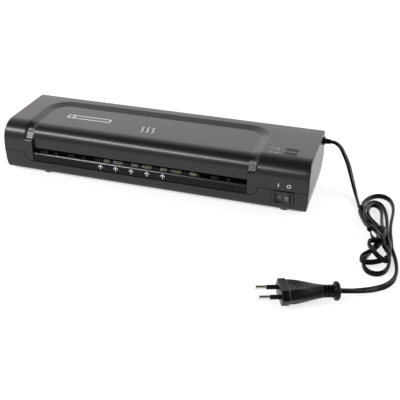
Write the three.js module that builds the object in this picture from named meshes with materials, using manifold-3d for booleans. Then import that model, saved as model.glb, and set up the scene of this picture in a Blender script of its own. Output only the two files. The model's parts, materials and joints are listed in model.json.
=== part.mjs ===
// Pouch laminator for A4 pouches: a two-shell plastic housing, a heated two-roller path driven by a
// geared motor, a rocker switch, two indicator windows and a flat twin mains lead with a two-pin plug.
// Millimetres, +Z up. The origin lies on the floor under the middle of the housing; pouches go in at -Y.
import * as THREE from 'three';
import { mergeVertices } from 'three/addons/utils/BufferGeometryUtils.js';
import Module from 'manifold-3d';

const wasm = await Module();
wasm.setup();

// ---- driving dimensions -------------------------------------------------------------------------
const GAP = 0.3; // clearance between neighbouring pieces

const LENGTH = 335;
const HALF = LENGTH / 2;
const DEPTH = 94;
const FRONT = -DEPTH / 2;
const REAR = DEPTH / 2;
const FOOT_H = 3;
const TOP = 54.4;
const WALL = 2.2;
const FLOOR_IN = FOOT_H + WALL;
const SEAM_FRONT = 25; // height of the parting line at the front and at the rear
const SEAM_REAR = 28;

const POUCH_Z = 27.2; // plane that a pouch travels in
const SLOT_L = -133.2; // left and right ends of the feed slot
const SLOT_R = 105.6;
const SLOT_LOW = 25;
const SLOT_HIGH = 29.6;
const EXIT_HALF = 7; // half the height of the exit opening at the rear

const RIB_PITCH = 32.3; // ribs of the comb guides behind the slot
const RIB_FIRST = SLOT_L + 9.9;

const PANEL_DEPTH = 2; // sunken panel of the top cover
const PANEL_BAND = 9.3;
const PANEL_REAR = 32;
const PANEL_CORNER = 25;
const PANEL_L = SLOT_L - PANEL_BAND;
const PANEL_R = SLOT_R + PANEL_BAND;
const FLAP_DEPTH = 4; // how far the flap over the slot lies behind the front
const GROOVE_HIGH = 39.5; // the groove down each pillar runs out between these heights
const GROOVE_LOW = 36;

const TAB_EDGE = 1; // tabs of the cover, beside the feed strip
const TAB_LOW = 15.4;
const TAB_CORNER = 8;
const TAB_L = PANEL_L - TAB_EDGE;
const TAB_R = PANEL_R + TAB_EDGE;

const ROLLER_Y = 12;
const ROLLER_PITCH = 8; // half the distance between the rollers, and the gears' pitch radius
const ROLLER_R = ROLLER_PITCH - GAP / 2;
const SHAFT_R = 3;
const PLATE_T = 1.5; // steel side plates
const PLATE_L = -140;
const PLATE_R = 109.5;

const MODULE = 1;
const ROLLER_TEETH = 16;
const MOTOR_TEETH = 14;
const GEAR_X = 113.5;
const GEAR_W = 5;
const MOTOR_Y = ROLLER_Y - 14.7;
const MOTOR_Z = POUCH_Z - ROLLER_PITCH - 3;
const MOTOR_MID = 6; // the motor can's axis, beside its offset output shaft
const MOTOR_AXIS = 27;
const EAR_Y = 23.5;

const SWITCH_X = 142.3;
const SWITCH_Z = 17;
const BEZEL_W = 21.6;
const BEZEL_H = 15;
const ROCKER_W = 15.4;
const ROCKER_H = 9.4;
const ROCKER_TILT = 11; // degrees each way about the middle

const WINDOW_X = 142.8;
const WINDOW_Y = [-15.5, -24.3];
const WINDOW_W = 13.2;
const WINDOW_D = 5.2;

const CORD_W = 5.2; // flat twin mains lead
const CORD_T = 3.2;
const CORD_Y = 33;
const CORD_Z = 46.5;
const RELIEF_OUT = 7;
const BORE_W = 3; // the lead's way through the strain relief

const SCREWS = [[-155, -33], [-155, 20], [158, -33], [158, 20]];
const FEET = {
  front_left: [-121, -36],
  front_right: [143, -36],
  rear_left: [-121, 26],
  rear_right: [143, 26],
};
const VENT_ROWS = [-17, 5];
const VENTS_IN_ROW = 7;

// ---- materials ----------------------------------------------------------------------------------
const finish = (color, roughness, metalness = 0) =>
  new THREE.MeshStandardMaterial({ color, roughness, metalness });
const CASING = finish(0x2b2a2b, 0.42);
const GLOSS_BLACK = finish(0x141415, 0.2);
const GUIDE_BLACK = finish(0x121213, 0.5);
const RUBBER = finish(0x161616, 0.85);
const CORD_BLACK = finish(0x131314, 0.45);
const STEEL = finish(0x9a9c9e, 0.4, 1);
const BRIGHT = finish(0xd9d6cf, 0.15, 1);
const ALUMINIUM = finish(0xb4b5b2, 0.35, 1);
const MICA = finish(0x8d8a6e, 0.7);
const SILICONE = finish(0x9c3f2c, 0.7);
const NYLON = finish(0xe6e3d8, 0.5);
const BOARD = finish(0x2c5a34, 0.6);
const SMOKED = finish(0x1a1a1c, 0.12);
const LED_GREEN = finish(0x4fae5c, 0.3);
const LED_RED = finish(0xc2402f, 0.3);

// ---- solids -------------------------------------------------------------------------------------
function solid(geometry) {
  const bare = geometry.index ? geometry.toNonIndexed() : geometry.clone();
  for (const name of Object.keys(bare.attributes)) if (name !== 'position') bare.deleteAttribute(name);
  const merged = mergeVertices(bare, 1e-4);
  const index = [];
  for (let i = 0; i < merged.index.count; i += 3) {
    const [a, b, c] = [0, 1, 2].map((k) => merged.index.getX(i + k));
    if (a !== b && b !== c && c !== a) index.push(a, b, c);
  }
  const mesh = new wasm.Mesh({
    numProp: 3,
    vertProperties: new Float32Array(merged.attributes.position.array),
    triVerts: new Uint32Array(index),
  });
  return new wasm.Manifold(mesh);
}

function geometryOf(body) {
  const mesh = body.getMesh();
  const geometry = new THREE.BufferGeometry();
  geometry.setAttribute('position', new THREE.BufferAttribute(mesh.vertProperties, 3));
  geometry.setIndex(new THREE.BufferAttribute(mesh.triVerts, 1));
  geometry.computeVertexNormals();
  return geometry;
}

const join = (first, ...rest) => rest.reduce((body, next) => body.add(next), first);
const cut = (first, ...rest) => rest.reduce((body, next) => body.subtract(next), first);

const part = new THREE.Group();

function add(name, body, material, parent = part) {
  const mesh = new THREE.Mesh(body.isBufferGeometry ? body : geometryOf(body), material);
  mesh.name = name;
  parent.add(mesh);
  return mesh;
}

function box(x0, x1, y0, y1, z0, z1) {
  const geometry = new THREE.BoxGeometry(x1 - x0, y1 - y0, z1 - z0);
  return solid(geometry.translate((x0 + x1) / 2, (y0 + y1) / 2, (z0 + z1) / 2));
}

const extrude = (shape, depth, curveSegments = 8) =>
  new THREE.ExtrudeGeometry(shape, { depth, bevelEnabled: false, curveSegments });

const shapeOf = (points) => new THREE.Shape(points.map(([a, b]) => new THREE.Vector2(a, b)));

// A (y, z) shape drawn out along X, an (x, z) shape along Y and an (x, y) shape along Z.
const ALONG_X = new THREE.Matrix4().set(0, 0, 1, 0, 1, 0, 0, 0, 0, 1, 0, 0, 0, 0, 0, 1);
const ALONG_Y = new THREE.Matrix4().set(1, 0, 0, 0, 0, 0, -1, 0, 0, 1, 0, 0, 0, 0, 0, 1);

const prismX = (shape, x0, x1, segments) =>
  solid(extrude(shape, x1 - x0, segments).applyMatrix4(ALONG_X).translate(x0, 0, 0));
const prismY = (shape, y0, y1, segments) =>
  solid(extrude(shape, y1 - y0, segments).applyMatrix4(ALONG_Y).translate(0, y1, 0));
const prismZ = (shape, z0, z1, segments) => solid(extrude(shape, z1 - z0, segments).translate(0, 0, z0));

function rodX(radius, x0, x1, y, z, sides = 24) {
  const geometry = new THREE.CylinderGeometry(radius, radius, x1 - x0, sides);
  return solid(geometry.rotateZ(Math.PI / 2).translate((x0 + x1) / 2, y, z));
}

function rodZ(radius, z0, z1, x, y, sides = 20) {
  const geometry = new THREE.CylinderGeometry(radius, radius, z1 - z0, sides);
  return solid(geometry.rotateX(Math.PI / 2).translate(x, y, (z0 + z1) / 2));
}

// A turned piece on the Z axis from [radius, height] pairs; the profile starts and ends on the axis.
const turned = (pairs, sides = 24) =>
  new THREE.LatheGeometry(pairs.map(([r, h]) => new THREE.Vector2(r, h)), sides).rotateX(Math.PI / 2);

// Closed skin over rings of equal length that run counter-clockwise about the direction of travel.
function loft(rings) {
  const count = rings[0].length;
  const index = [];
  for (let i = 0; i + 1 < rings.length; i += 1) {
    for (let j = 0; j < count; j += 1) {
      const a = i * count + j;
      const b = i * count + ((j + 1) % count);
      index.push(a, b, a + count, b, b + count, a + count);
    }
  }
  const contour = (ring) => ring.map((p) => new THREE.Vector2(p.y, p.z));
  const last = (rings.length - 1) * count;
  for (const [a, b, c] of THREE.ShapeUtils.triangulateShape(contour(rings[0]), [])) index.push(a, c, b);
  for (const [a, b, c] of THREE.ShapeUtils.triangulateShape(contour(rings.at(-1)), [])) {
    index.push(last + a, last + b, last + c);
  }
  const geometry = new THREE.BufferGeometry().setFromPoints(rings.flat());
  geometry.setIndex(index);
  return solid(geometry);
}

// ---- housing ------------------------------------------------------------------------------------
// Front rounding of the cover, from the flat top down to the front face.
const frontCurve = new THREE.CubicBezierCurve(
  new THREE.Vector2(-25.5, TOP),
  new THREE.Vector2(-37, TOP),
  new THREE.Vector2(-45.3, TOP - 7.4),
  new THREE.Vector2(-46.4, TOP - 18.4),
);

// Rounding under the front face, down to the flat underside.
const lowerCurve = new THREE.CubicBezierCurve(
  new THREE.Vector2(-46.7, 12),
  new THREE.Vector2(-46.3, 7),
  new THREE.Vector2(-44.3, FOOT_H),
  new THREE.Vector2(-39, FOOT_H),
);

const clamp01 = (value) => Math.min(1, Math.max(0, value));
const smooth = (value) => clamp01(value) ** 2 * (3 - 2 * clamp01(value));

// Distance inside the panel's outer edge, which is square at the front and rounded at the rear.
function insidePanel(x, y) {
  const dx = Math.min(x - PANEL_L, PANEL_R - x);
  const dy = PANEL_REAR - y;
  if (dx < PANEL_CORNER && dy < PANEL_CORNER) {
    return PANEL_CORNER - Math.hypot(PANEL_CORNER - dx, PANEL_CORNER - dy);
  }
  return Math.min(dx, dy);
}

// Where the panel's outer and inner edges cross the section at x.
function panelEdges(x) {
  const dx = Math.min(x - PANEL_L, PANEL_R - x);
  const start = PANEL_REAR - PANEL_CORNER;
  const reach = (radius) => {
    const off = Math.max(0, PANEL_CORNER - dx);
    return off < radius ? start + Math.sqrt(radius ** 2 - off ** 2) : start;
  };
  const inner = reach(PANEL_CORNER - PANEL_BAND);
  return [Math.max(reach(PANEL_CORNER), inner + 1), inner];
}

// How far the skin lies under the plain outline at one point; along is 0 on top and grows down the front.
function sink(x, y, z, along) {
  const dx = Math.min(x - PANEL_L, PANEL_R - x);
  if (dx <= 0) return 0;
  if (dx < PANEL_BAND) {
    const band = THREE.MathUtils.lerp(PANEL_BAND, 2, smooth(along / 0.6));
    const fade = clamp01((z - GROOVE_LOW) / (GROOVE_HIGH - GROOVE_LOW));
    return PANEL_DEPTH * clamp01((along > 0 ? dx : insidePanel(x, y)) / band) * fade;
  }
  const top = PANEL_DEPTH * clamp01(insidePanel(x, y) / PANEL_BAND);
  return top + (FLAP_DEPTH - PANEL_DEPTH) * smooth((along - 0.2) / 0.9);
}

// One ring of the whole housing's skin at x, counter-clockwise about +X.
function housingRing(x) {
  const ring = [];
  const put = (y, z) => ring.push(new THREE.Vector3(x, y, z));
  lowerCurve.getPoints(4).forEach((p) => put(p.x, p.y));
  put(34, FOOT_H);
  put(36.4, 4.6);
  put(43.5, 18.9);
  put(45.8, 23.4);
  put(REAR, SEAM_REAR);
  const corner = 7;
  for (let i = 0; i <= 4; i += 1) {
    const angle = (i / 4) * (Math.PI / 2);
    put(REAR - corner + corner * Math.cos(angle), TOP - corner + corner * Math.sin(angle));
  }
  const [outer, inner] = panelEdges(x);
  for (const t of [0, 0.33, 0.67, 1]) {
    const y = THREE.MathUtils.lerp(outer, inner, t);
    put(y, TOP - sink(x, y, TOP, 0));
  }
  const steps = 9;
  for (let i = 0; i <= steps; i += 1) {
    const p = frontCurve.getPoint(i / steps);
    const tangent = frontCurve.getTangent(i / steps);
    const depth = sink(x, p.x, p.y, i / steps);
    put(p.x - tangent.y * depth, p.y + tangent.x * depth);
  }
  for (const z of [GROOVE_LOW - 0.5, SLOT_HIGH - 1, SEAM_FRONT - 1]) {
    put(FRONT + 0.4 * clamp01((z - SEAM_FRONT) / 11) + sink(x, FRONT, z, 1 + (TOP - 18.4 - z) / 20), z);
  }
  return ring;
}

// Stations along X: closer together where the panel's rear corners turn and at each pillar's edges.
function housingStations() {
  const offsets = [-0.5, 0, 2, 5, PANEL_BAND - GAP, PANEL_BAND, 13, 18, PANEL_CORNER];
  const left = offsets.map((d) => PANEL_L + d);
  const right = offsets.map((d) => PANEL_R - d).reverse();
  return [-HALF, ...left, ...right, HALF];
}

// Both end faces lean in a little, and more near the floor.
function endTaper() {
  const half = [[164.4, 0], [164.6, FOOT_H], [166.9, 10], [HALF, SEAM_FRONT + 1], [166.8, TOP + 0.2]];
  const outline = [...half, ...half.map(([x, z]) => [-x, z]).reverse()];
  return prismY(shapeOf(outline), FRONT - 5, REAR + 5);
}

// Everything above the parting plane, moved up or down by a lift.
function aboveSeam(lift) {
  const rise = (SEAM_REAR - SEAM_FRONT) / DEPTH;
  const at = (y) => SEAM_FRONT + rise * (y - FRONT) + lift;
  return prismX(shapeOf([[-60, at(-60)], [60, at(60)], [60, 90], [-60, 90]]), -200, 200);
}

// Hollow inside the housing, with its own clearance behind the front, under the top and at the rear.
function cavity(x0, x1, front, under, rear = WALL) {
  const shape = new THREE.Shape();
  shape.moveTo(FRONT + front, FLOOR_IN + 4);
  shape.lineTo(-40, FLOOR_IN);
  shape.lineTo(33, FLOOR_IN);
  shape.lineTo(41, 19.5);
  shape.lineTo(REAR - rear, SEAM_REAR);
  shape.lineTo(REAR - rear, TOP - 8);
  shape.quadraticCurveTo(REAR - rear, TOP - under, 38, TOP - under);
  shape.lineTo(-24, TOP - under);
  shape.bezierCurveTo(-36, TOP - under, FRONT + front + 0.8, TOP - 8 - under / 2, FRONT + front, TOP - 20);
  return prismX(shape, x0, x1, 6);
}

// Rounded U that holds the feed strip and the two tabs; grow widens it all round.
function feedOutline(left, right, low, radius) {
  const shape = new THREE.Shape();
  shape.moveTo(left, 60);
  shape.lineTo(left, low + radius);
  shape.absarc(left + radius, low + radius, radius, Math.PI, 1.5 * Math.PI, false);
  shape.lineTo(right - radius, low);
  shape.absarc(right - radius, low + radius, radius, 1.5 * Math.PI, 2 * Math.PI, false);
  shape.lineTo(right, 60);
  return shape;
}

function housing() {
  const skin = loft(housingStations().map(housingRing)).intersect(endTaper());
  const inner = HALF - WALL - 0.8;
  const hollow = join(
    cavity(-inner, PANEL_L - WALL, WALL, WALL),
    cavity(PANEL_L - WALL - 1, PANEL_R + WALL + 1, FLAP_DEPTH + WALL, WALL + PANEL_DEPTH),
    cavity(PANEL_R + WALL, inner, WALL, WALL),
  );
  const shell = cut(skin, hollow);
  const mouth = box(SLOT_L, SLOT_R, -60, -38, SEAM_FRONT - 5, SLOT_HIGH);
  const exit = box(SLOT_L, SLOT_R, 38, 60, POUCH_Z - EXIT_HALF, POUCH_Z + EXIT_HALF);

  const tabs = prismY(feedOutline(TAB_L, TAB_R, TAB_LOW, TAB_CORNER), FRONT + 0.1, FRONT + WALL + 0.4)
    .intersect(box(-HALF, HALF, -60, 0, 0, SEAM_FRONT + 1.5));
  const between = box(SLOT_L, SLOT_R, -60, 0, 0, 80);
  let cover = cut(join(cut(shell.intersect(aboveSeam(GAP / 2)), mouth), cut(tabs, between)), exit);
  cover = cover.subtract(windowsCut());
  cover = cover.subtract(rodX(4.2, 150, 200, CORD_Y, CORD_Z, 20));
  for (const [x, y] of SCREWS) {
    const boss = rodZ(4, 20.3, TOP, x, y).intersect(skin);
    cover = cover.add(cut(boss, rodZ(1.8, 15, 34, x, y, 12)));
  }

  let base = cut(shell, aboveSeam(-GAP / 2), exit);
  const notch = feedOutline(TAB_L - GAP, TAB_R + GAP, TAB_LOW - GAP, TAB_CORNER + GAP);
  base = cut(base, prismY(notch, -60, -42), box(SLOT_L, SLOT_R, -60, -38, SLOT_LOW - 2.1, 40));
  base = base.subtract(box(SWITCH_X - 9.6, SWITCH_X + 9.6, -60, -38, SWITCH_Z - 6.6, SWITCH_Z + 6.6));
  for (const [x, y] of SCREWS) {
    const tower = rodZ(5, FOOT_H + 0.5, 20, x, y);
    base = cut(base.add(tower), rodZ(3.3, 0, 17, x, y), rodZ(1.8, 0, 25, x, y, 12));
  }
  return { cover, base: cut(base, vents()) };
}

// Two rows of slots through the floor under the heater.
function vents() {
  const slots = [];
  for (const y of VENT_ROWS) {
    for (let i = 0; i < VENTS_IN_ROW; i += 1) slots.push([-86 + i * 26, y]);
  }
  return join(...slots.map(([x, y]) => box(x - 1.5, x + 1.5, y - 7, y + 7, 0, FLOOR_IN + 2)));
}

function windowsCut() {
  const cuts = WINDOW_Y.map((y) => {
    const [w, d] = [WINDOW_W / 2, WINDOW_D / 2];
    return box(WINDOW_X - w, WINDOW_X + w, y - d, y + d, 40, 70);
  });
  return join(...cuts);
}

function addHousing() {
  const { cover, base } = housing();
  add('top_cover', cover, CASING);
  add('base_housing', base, CASING);

  // Feed strip under the slot: a slightly sunken, glossy front with a rounded lip on top.
  const strip = new THREE.Shape();
  strip.moveTo(-44.6, TAB_LOW + 0.4);
  strip.lineTo(-46.3, TAB_LOW);
  strip.lineTo(-45.9, SLOT_LOW - 1.6);
  strip.quadraticCurveTo(-45.8, SLOT_LOW, -44, SLOT_LOW);
  strip.lineTo(-38.5, SLOT_LOW + 0.4);
  strip.lineTo(-38.5, SLOT_LOW - 1.4);
  strip.lineTo(-43.2, SLOT_LOW - 1.8);
  strip.lineTo(-43.4, TAB_LOW + 0.4);
  add('feed_strip', prismX(strip, SLOT_L + GAP, SLOT_R - GAP, 4), GLOSS_BLACK);

  for (const [name, [x, y]] of Object.entries(FEET)) {
    const foot = turned([[0, 0], [5, 0], [5.9, 0.9], [6, FOOT_H], [0, FOOT_H]], 24);
    add(`foot_${name}`, foot, RUBBER).position.set(x, y, 0);
  }
  SCREWS.forEach(([x, y], i) => {
    const screw = turned([[0, 0], [2.7, 0], [2.9, 0.5], [2.9, 2], [1.5, 2], [1.5, 15], [0, 16.5]], 16);
    const slotted = cut(solid(screw), box(-0.4, 0.4, -2, 2, -1, 1));
    add(`case_screw_${i + 1}`, slotted, STEEL).position.set(x, y, 14.8);
  });
}

// ---- pouch path ---------------------------------------------------------------------------------
// Comb guides behind the slot: a plate the width of the path with a rib on every pitch.
function feedGuide(side) {
  const near = POUCH_Z + side * 1.3;
  const far = near + side * 1.2;
  const mouth = near + side * 0.9;
  const plate = prismX(shapeOf(side > 0
    ? [[-38, mouth], [-27.5, near + 1.2], [-27.5, far + 1.2], [-38, mouth + 1.2]]
    : [[-38, mouth - 1.2], [-27.5, far - 1.2], [-27.5, near - 1.2], [-38, mouth]]), SLOT_L + 2, SLOT_R - 2);
  const ribs = [];
  for (let x = RIB_FIRST; x < SLOT_R - 5; x += RIB_PITCH) {
    const low = side > 0 ? near : near - 3;
    ribs.push(box(x - 1.2, x + 1.2, -37.5, -27.8, low, low + 3));
  }
  return join(plate, ...ribs);
}

function exitGuide(side) {
  const near = POUCH_Z + side * 1.5;
  const mouth = POUCH_Z + side * 3.1;
  const shape = side > 0
    ? [[22.5, near], [41.2, mouth], [41.2, mouth + 1.3], [22.5, near + 1.3]]
    : [[22.5, near - 1.3], [41.2, mouth - 1.3], [41.2, mouth], [22.5, near]];
  const ribs = [];
  for (let x = SLOT_L + 20; x < SLOT_R - 10; x += 36) {
    const low = side > 0 ? near + 1 : near - 2.6;
    ribs.push(box(x - 0.8, x + 0.8, 22.8, 30, low, low + 1.6));
  }
  return join(prismX(shapeOf(shape), SLOT_L + 2, SLOT_R - 2), ...ribs);
}

// Aluminium pressing that warms the pouch, with a flared lead-in and a recess for its element.
function heaterPlate(side) {
  const near = POUCH_Z + side * 0.9;
  const points = [[-26.6, 1.6], [-22, 0], [1.5, 0], [1.5, 3], [-22, 3], [-26.6, 3.2]];
  const shape = shapeOf(points.map(([y, h]) => [y, near + side * h]));
  return prismX(shape, SLOT_L + 3, SLOT_R - 3);
}

function addPath() {
  for (const [level, side] of [['upper', 1], ['lower', -1]]) {
    add(`${level}_feed_guide`, feedGuide(side), GUIDE_BLACK);
    add(`${level}_heater_plate`, heaterPlate(side), ALUMINIUM);
    const face = POUCH_Z + side * (0.9 + 3 + GAP);
    const [low, high] = [face, face + side * 1.2].sort((a, b) => a - b);
    add(`${level}_heating_element`, box(SLOT_L + 8, SLOT_R - 8, -20, -0.5, low, high), MICA);
    add(`${level}_exit_guide`, exitGuide(side), GUIDE_BLACK);
  }
  const sensorZ = POUCH_Z + 0.9 + 3 + GAP + 1.2 + GAP;
  const thermostat = turned([[0, 0], [8, 0], [8, 4], [6.5, 4.6], [6.5, 9], [0, 9]], 20);
  add('thermostat', thermostat, GUIDE_BLACK).position.set(-20, -10, sensorZ);
  const fuse = rodX(2.2, 20, 34, -10, sensorZ + 2.2, 16);
  add('thermal_fuse', join(fuse, rodX(0.6, 14, 40, -10, sensorZ + 2.2, 8)), BRIGHT);
}

// ---- frame, rollers and drive -------------------------------------------------------------------
const LOWER_Z = POUCH_Z - ROLLER_PITCH;
const UPPER_Z = POUCH_Z + ROLLER_PITCH;
const BUSH_R = 5.5;
const SLOT_TOP = 45.6; // top of the slots that the upper bushes slide in

function sidePlate(x) {
  const low = FLOOR_IN + GAP;
  const outline = [[-30, low], [30, low], [30, 44], [18, 48], [-24, 48], [-30, 42]];
  const plate = prismX(shapeOf(outline), x, x + PLATE_T);
  const inward = x < 0 ? 1 : -1;
  const edge = x < 0 ? x : x + PLATE_T;
  const [x0, x1] = [edge, edge + inward * 9].sort((a, b) => a - b);
  const foot = box(x0, x1, 8, 28, low, low + PLATE_T);
  const reach = BUSH_R + GAP;
  const guideSlot = box(x - 1, x + 3, ROLLER_Y - reach, ROLLER_Y + reach, UPPER_Z - reach, SLOT_TOP);
  const passage = box(x - 1, x + 3, -40, -20, POUCH_Z - 1, POUCH_Z + 1);
  return cut(join(plate, foot), rodX(reach, x - 1, x + 3, ROLLER_Y, LOWER_Z), guideSlot, passage);
}

// The lower bushes are round; the upper ones are blocks that slide in the plates' slots.
function bush(x, z, sliding) {
  const [x0, x1] = [x - 2, x + PLATE_T + 2];
  const core = sliding
    ? box(x0, x1, ROLLER_Y - BUSH_R, ROLLER_Y + BUSH_R, z - BUSH_R, z + BUSH_R)
    : rodX(BUSH_R, x0, x1, ROLLER_Y, z);
  const collar = box(x0, x - GAP, ROLLER_Y - BUSH_R - 1.5, ROLLER_Y + BUSH_R + 1.5, z - 4, z + 4);
  return cut(join(core, collar), rodX(SHAFT_R + 0.2, x - 3, x + 5, ROLLER_Y, z));
}

// Spur gear outline with involute flanks, thinned for running clearance.
function gearShape(teeth, bore) {
  const pitch = (MODULE * teeth) / 2;
  const base = pitch * Math.cos(THREE.MathUtils.degToRad(20));
  const [root, tip] = [pitch - 1.25 * MODULE, pitch + 0.92 * MODULE];
  const involute = (r) => {
    const a = Math.acos(Math.min(1, base / r));
    return Math.tan(a) - a;
  };
  const thin = 0.2 / pitch;
  const half = Math.PI / (2 * teeth) + involute(pitch) - thin;
  const shape = new THREE.Shape();
  for (let i = 0; i < teeth; i += 1) {
    const middle = (i / teeth) * 2 * Math.PI;
    const flank = [root, pitch, tip].map((r) => [r, half - involute(Math.max(r, base))]);
    const rising = flank.map(([r, a]) => [r, middle - a]);
    const falling = flank.map(([r, a]) => [r, middle + a]).reverse();
    [...rising, ...falling].forEach(([r, a], k) => {
      const [px, py] = [r * Math.cos(a), r * Math.sin(a)];
      if (i === 0 && k === 0) shape.moveTo(px, py);
      else shape.lineTo(px, py);
    });
  }
  const hole = new THREE.Path().absarc(0, 0, bore, 0, 2 * Math.PI, true);
  shape.holes.push(hole);
  return shape;
}

// A gear at a place on the drive side, its first tooth turned to an angle about X.
function gear(teeth, y, z, turn) {
  const geometry = extrude(gearShape(teeth, SHAFT_R + 0.2), GEAR_W, 8).rotateZ(turn).applyMatrix4(ALONG_X);
  return solid(geometry.translate(GEAR_X, y, z));
}

function addRoller(level, z, turn) {
  const sleeve = cut(
    rodX(ROLLER_R, SLOT_L + 2.5, SLOT_R - 2.5, ROLLER_Y, z, 32),
    rodX(SHAFT_R + 0.2, -200, 200, ROLLER_Y, z),
  );
  add(`${level}_roller_sleeve`, sleeve, SILICONE);
  const shaft = join(
    rodX(SHAFT_R, PLATE_L - 4, GEAR_X + GEAR_W + 1.2, ROLLER_Y, z),
    rodX(SHAFT_R + 1, PLATE_L - 5.2, PLATE_L - 3.9, ROLLER_Y, z),
  );
  add(`${level}_roller_shaft`, shaft, STEEL);
  add(`${level}_roller_gear`, gear(ROLLER_TEETH, ROLLER_Y, z, turn), NYLON);
}

// Compression spring over an upper bearing: a round wire on a helix with flat closed ends.
function spring() {
  const [radius, wire, turns] = [2.1, 0.4, 3];
  const height = SLOT_TOP - UPPER_Z - BUSH_R - 2 * GAP;
  class Helix extends THREE.Curve {
    getPoint(t, target = new THREE.Vector3()) {
      const angle = t * turns * 2 * Math.PI;
      return target.set(radius * Math.cos(angle), radius * Math.sin(angle), wire + t * (height - 2 * wire));
    }
  }
  const section = new THREE.Shape().absarc(0, 0, wire, 0, 2 * Math.PI);
  return new THREE.ExtrudeGeometry(section, { extrudePath: new Helix(), steps: 27, curveSegments: 2 });
}

function addFrame() {
  const ends = [['left', PLATE_L], ['right', PLATE_R]];
  for (const [side, x] of ends) {
    add(`${side}_side_plate`, sidePlate(x), STEEL);
    add(`lower_${side}_bush`, bush(x, LOWER_Z, false), NYLON);
    add(`upper_${side}_bush`, bush(x, UPPER_Z, true), NYLON);
    const coil = add(`${side}_pressure_spring`, spring(), STEEL);
    coil.position.set(x + PLATE_T / 2, ROLLER_Y, UPPER_Z + BUSH_R + GAP);
  }
  const half = Math.PI / ROLLER_TEETH;
  addRoller('lower', LOWER_Z, Math.PI / 2);
  addRoller('upper', UPPER_Z, -Math.PI / 2 + half);
}

function addDrive() {
  // The motor pinion meshes with the lower roller's gear; its teeth face the gaps of that gear.
  const toMotor = Math.atan2(MOTOR_Z - LOWER_Z, MOTOR_Y - ROLLER_Y);
  const step = (2 * Math.PI) / ROLLER_TEETH;
  const off = (toMotor - Math.PI / 2) / step;
  const phase = (off - Math.round(off)) * ROLLER_TEETH;
  const turn = toMotor + Math.PI + (Math.PI + phase * 2 * Math.PI / ROLLER_TEETH) / MOTOR_TEETH;
  add('motor_pinion', gear(MOTOR_TEETH, MOTOR_Y, MOTOR_Z, turn), NYLON);
  add('motor_output_shaft', rodX(SHAFT_R, GEAR_X - 1, GEAR_X + GEAR_W + 6, MOTOR_Y, MOTOR_Z), STEEL);

  const face = GEAR_X + GEAR_W + 2.5;
  const front = face + PLATE_T + GAP;
  const [low, high] = [FLOOR_IN + GAP, 38];
  const outline = [[-28, low], [26, low], [28, 14], [28, high], [16, 46], [-8, 46], [-28, high]];
  const holes = [-EAR_Y, EAR_Y].map((y) => rodX(1.8, face - 1, front + 3, MOTOR_MID + y, MOTOR_AXIS, 12));
  const bracket = join(
    prismX(shapeOf(outline.map(([y, z]) => [y + MOTOR_MID, z])), face, face + PLATE_T),
    box(face, face + 10, -20, -10, low, low + PLATE_T),
  );
  add('motor_bracket', cut(bracket, rodX(5, face - 1, face + 3, MOTOR_Y, MOTOR_Z), ...holes), STEEL);
  const ears = box(front, front + 1.6, MOTOR_MID - 27, MOTOR_MID + 27, MOTOR_AXIS - 4, MOTOR_AXIS + 4);
  const gearbox = rodX(19.5, front, front + 7, MOTOR_MID, MOTOR_AXIS, 28);
  const motor = join(gearbox, ears, rodX(18, front + 6.9, front + 19, MOTOR_MID, MOTOR_AXIS, 28));
  const bore = rodX(SHAFT_R + GAP, front - 1, GEAR_X + GEAR_W + 6.5, MOTOR_Y, MOTOR_Z);
  add('drive_motor', cut(motor, bore, ...holes), BRIGHT);
  [-EAR_Y, EAR_Y].forEach((y, i) => {
    const screw = turned([[0, 0], [1.5, 0], [1.5, 5.4], [2.8, 5.4], [2.8, 7], [0, 7.4]], 12);
    const mesh = add(`motor_screw_${i + 1}`, screw.rotateY(Math.PI / 2), STEEL);
    mesh.position.set(face - 1.5, MOTOR_MID + y, MOTOR_AXIS);
  });
}

// ---- switch, indicators and wiring --------------------------------------------------------------
function addSwitch() {
  const face = FRONT - 0.9;
  const back = -31.5;
  const block = (width, height, y0, y1, x = SWITCH_X) =>
    box(x - width / 2, x + width / 2, y0, y1, SWITCH_Z - height / 2, SWITCH_Z + height / 2);
  const flange = block(BEZEL_W, BEZEL_H, face, FRONT - GAP / 2);
  const body = block(18.6, 12.6, FRONT - GAP, back);
  const well = block(ROCKER_W + 0.7, ROCKER_H + 0.6, -60, -38);
  const blades = [-5, 5].map((d) => block(0.8, 4.8, back - 0.1, -25, SWITCH_X + d));
  add('switch_body', join(cut(join(flange, body), well), ...blades), CASING);

  // Rocker: two faces that meet in a shallow V about its pivot, drawn flat and turned to its rest angle.
  const shape = new THREE.Shape();
  const r = ROCKER_W / 2 - 0.25;
  shape.moveTo(-r, 1.6);
  shape.quadraticCurveTo(0, 4.6, r, 1.6);
  shape.lineTo(r, -1.3);
  shape.quadraticCurveTo(0, 0.2, -r, -1.3);
  const barrel = rodZ(1.6, -ROCKER_H / 2, ROCKER_H / 2, 0, 2.6, 16);
  const rocker = join(prismZ(shape, -ROCKER_H / 2, ROCKER_H / 2, 8), barrel);
  const group = new THREE.Group();
  group.position.set(SWITCH_X, FRONT + 1.4, SWITCH_Z);
  group.rotation.z = THREE.MathUtils.degToRad(-ROCKER_TILT);
  part.add(group);
  add('switch_rocker', rocker, GLOSS_BLACK, group);
}

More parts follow.
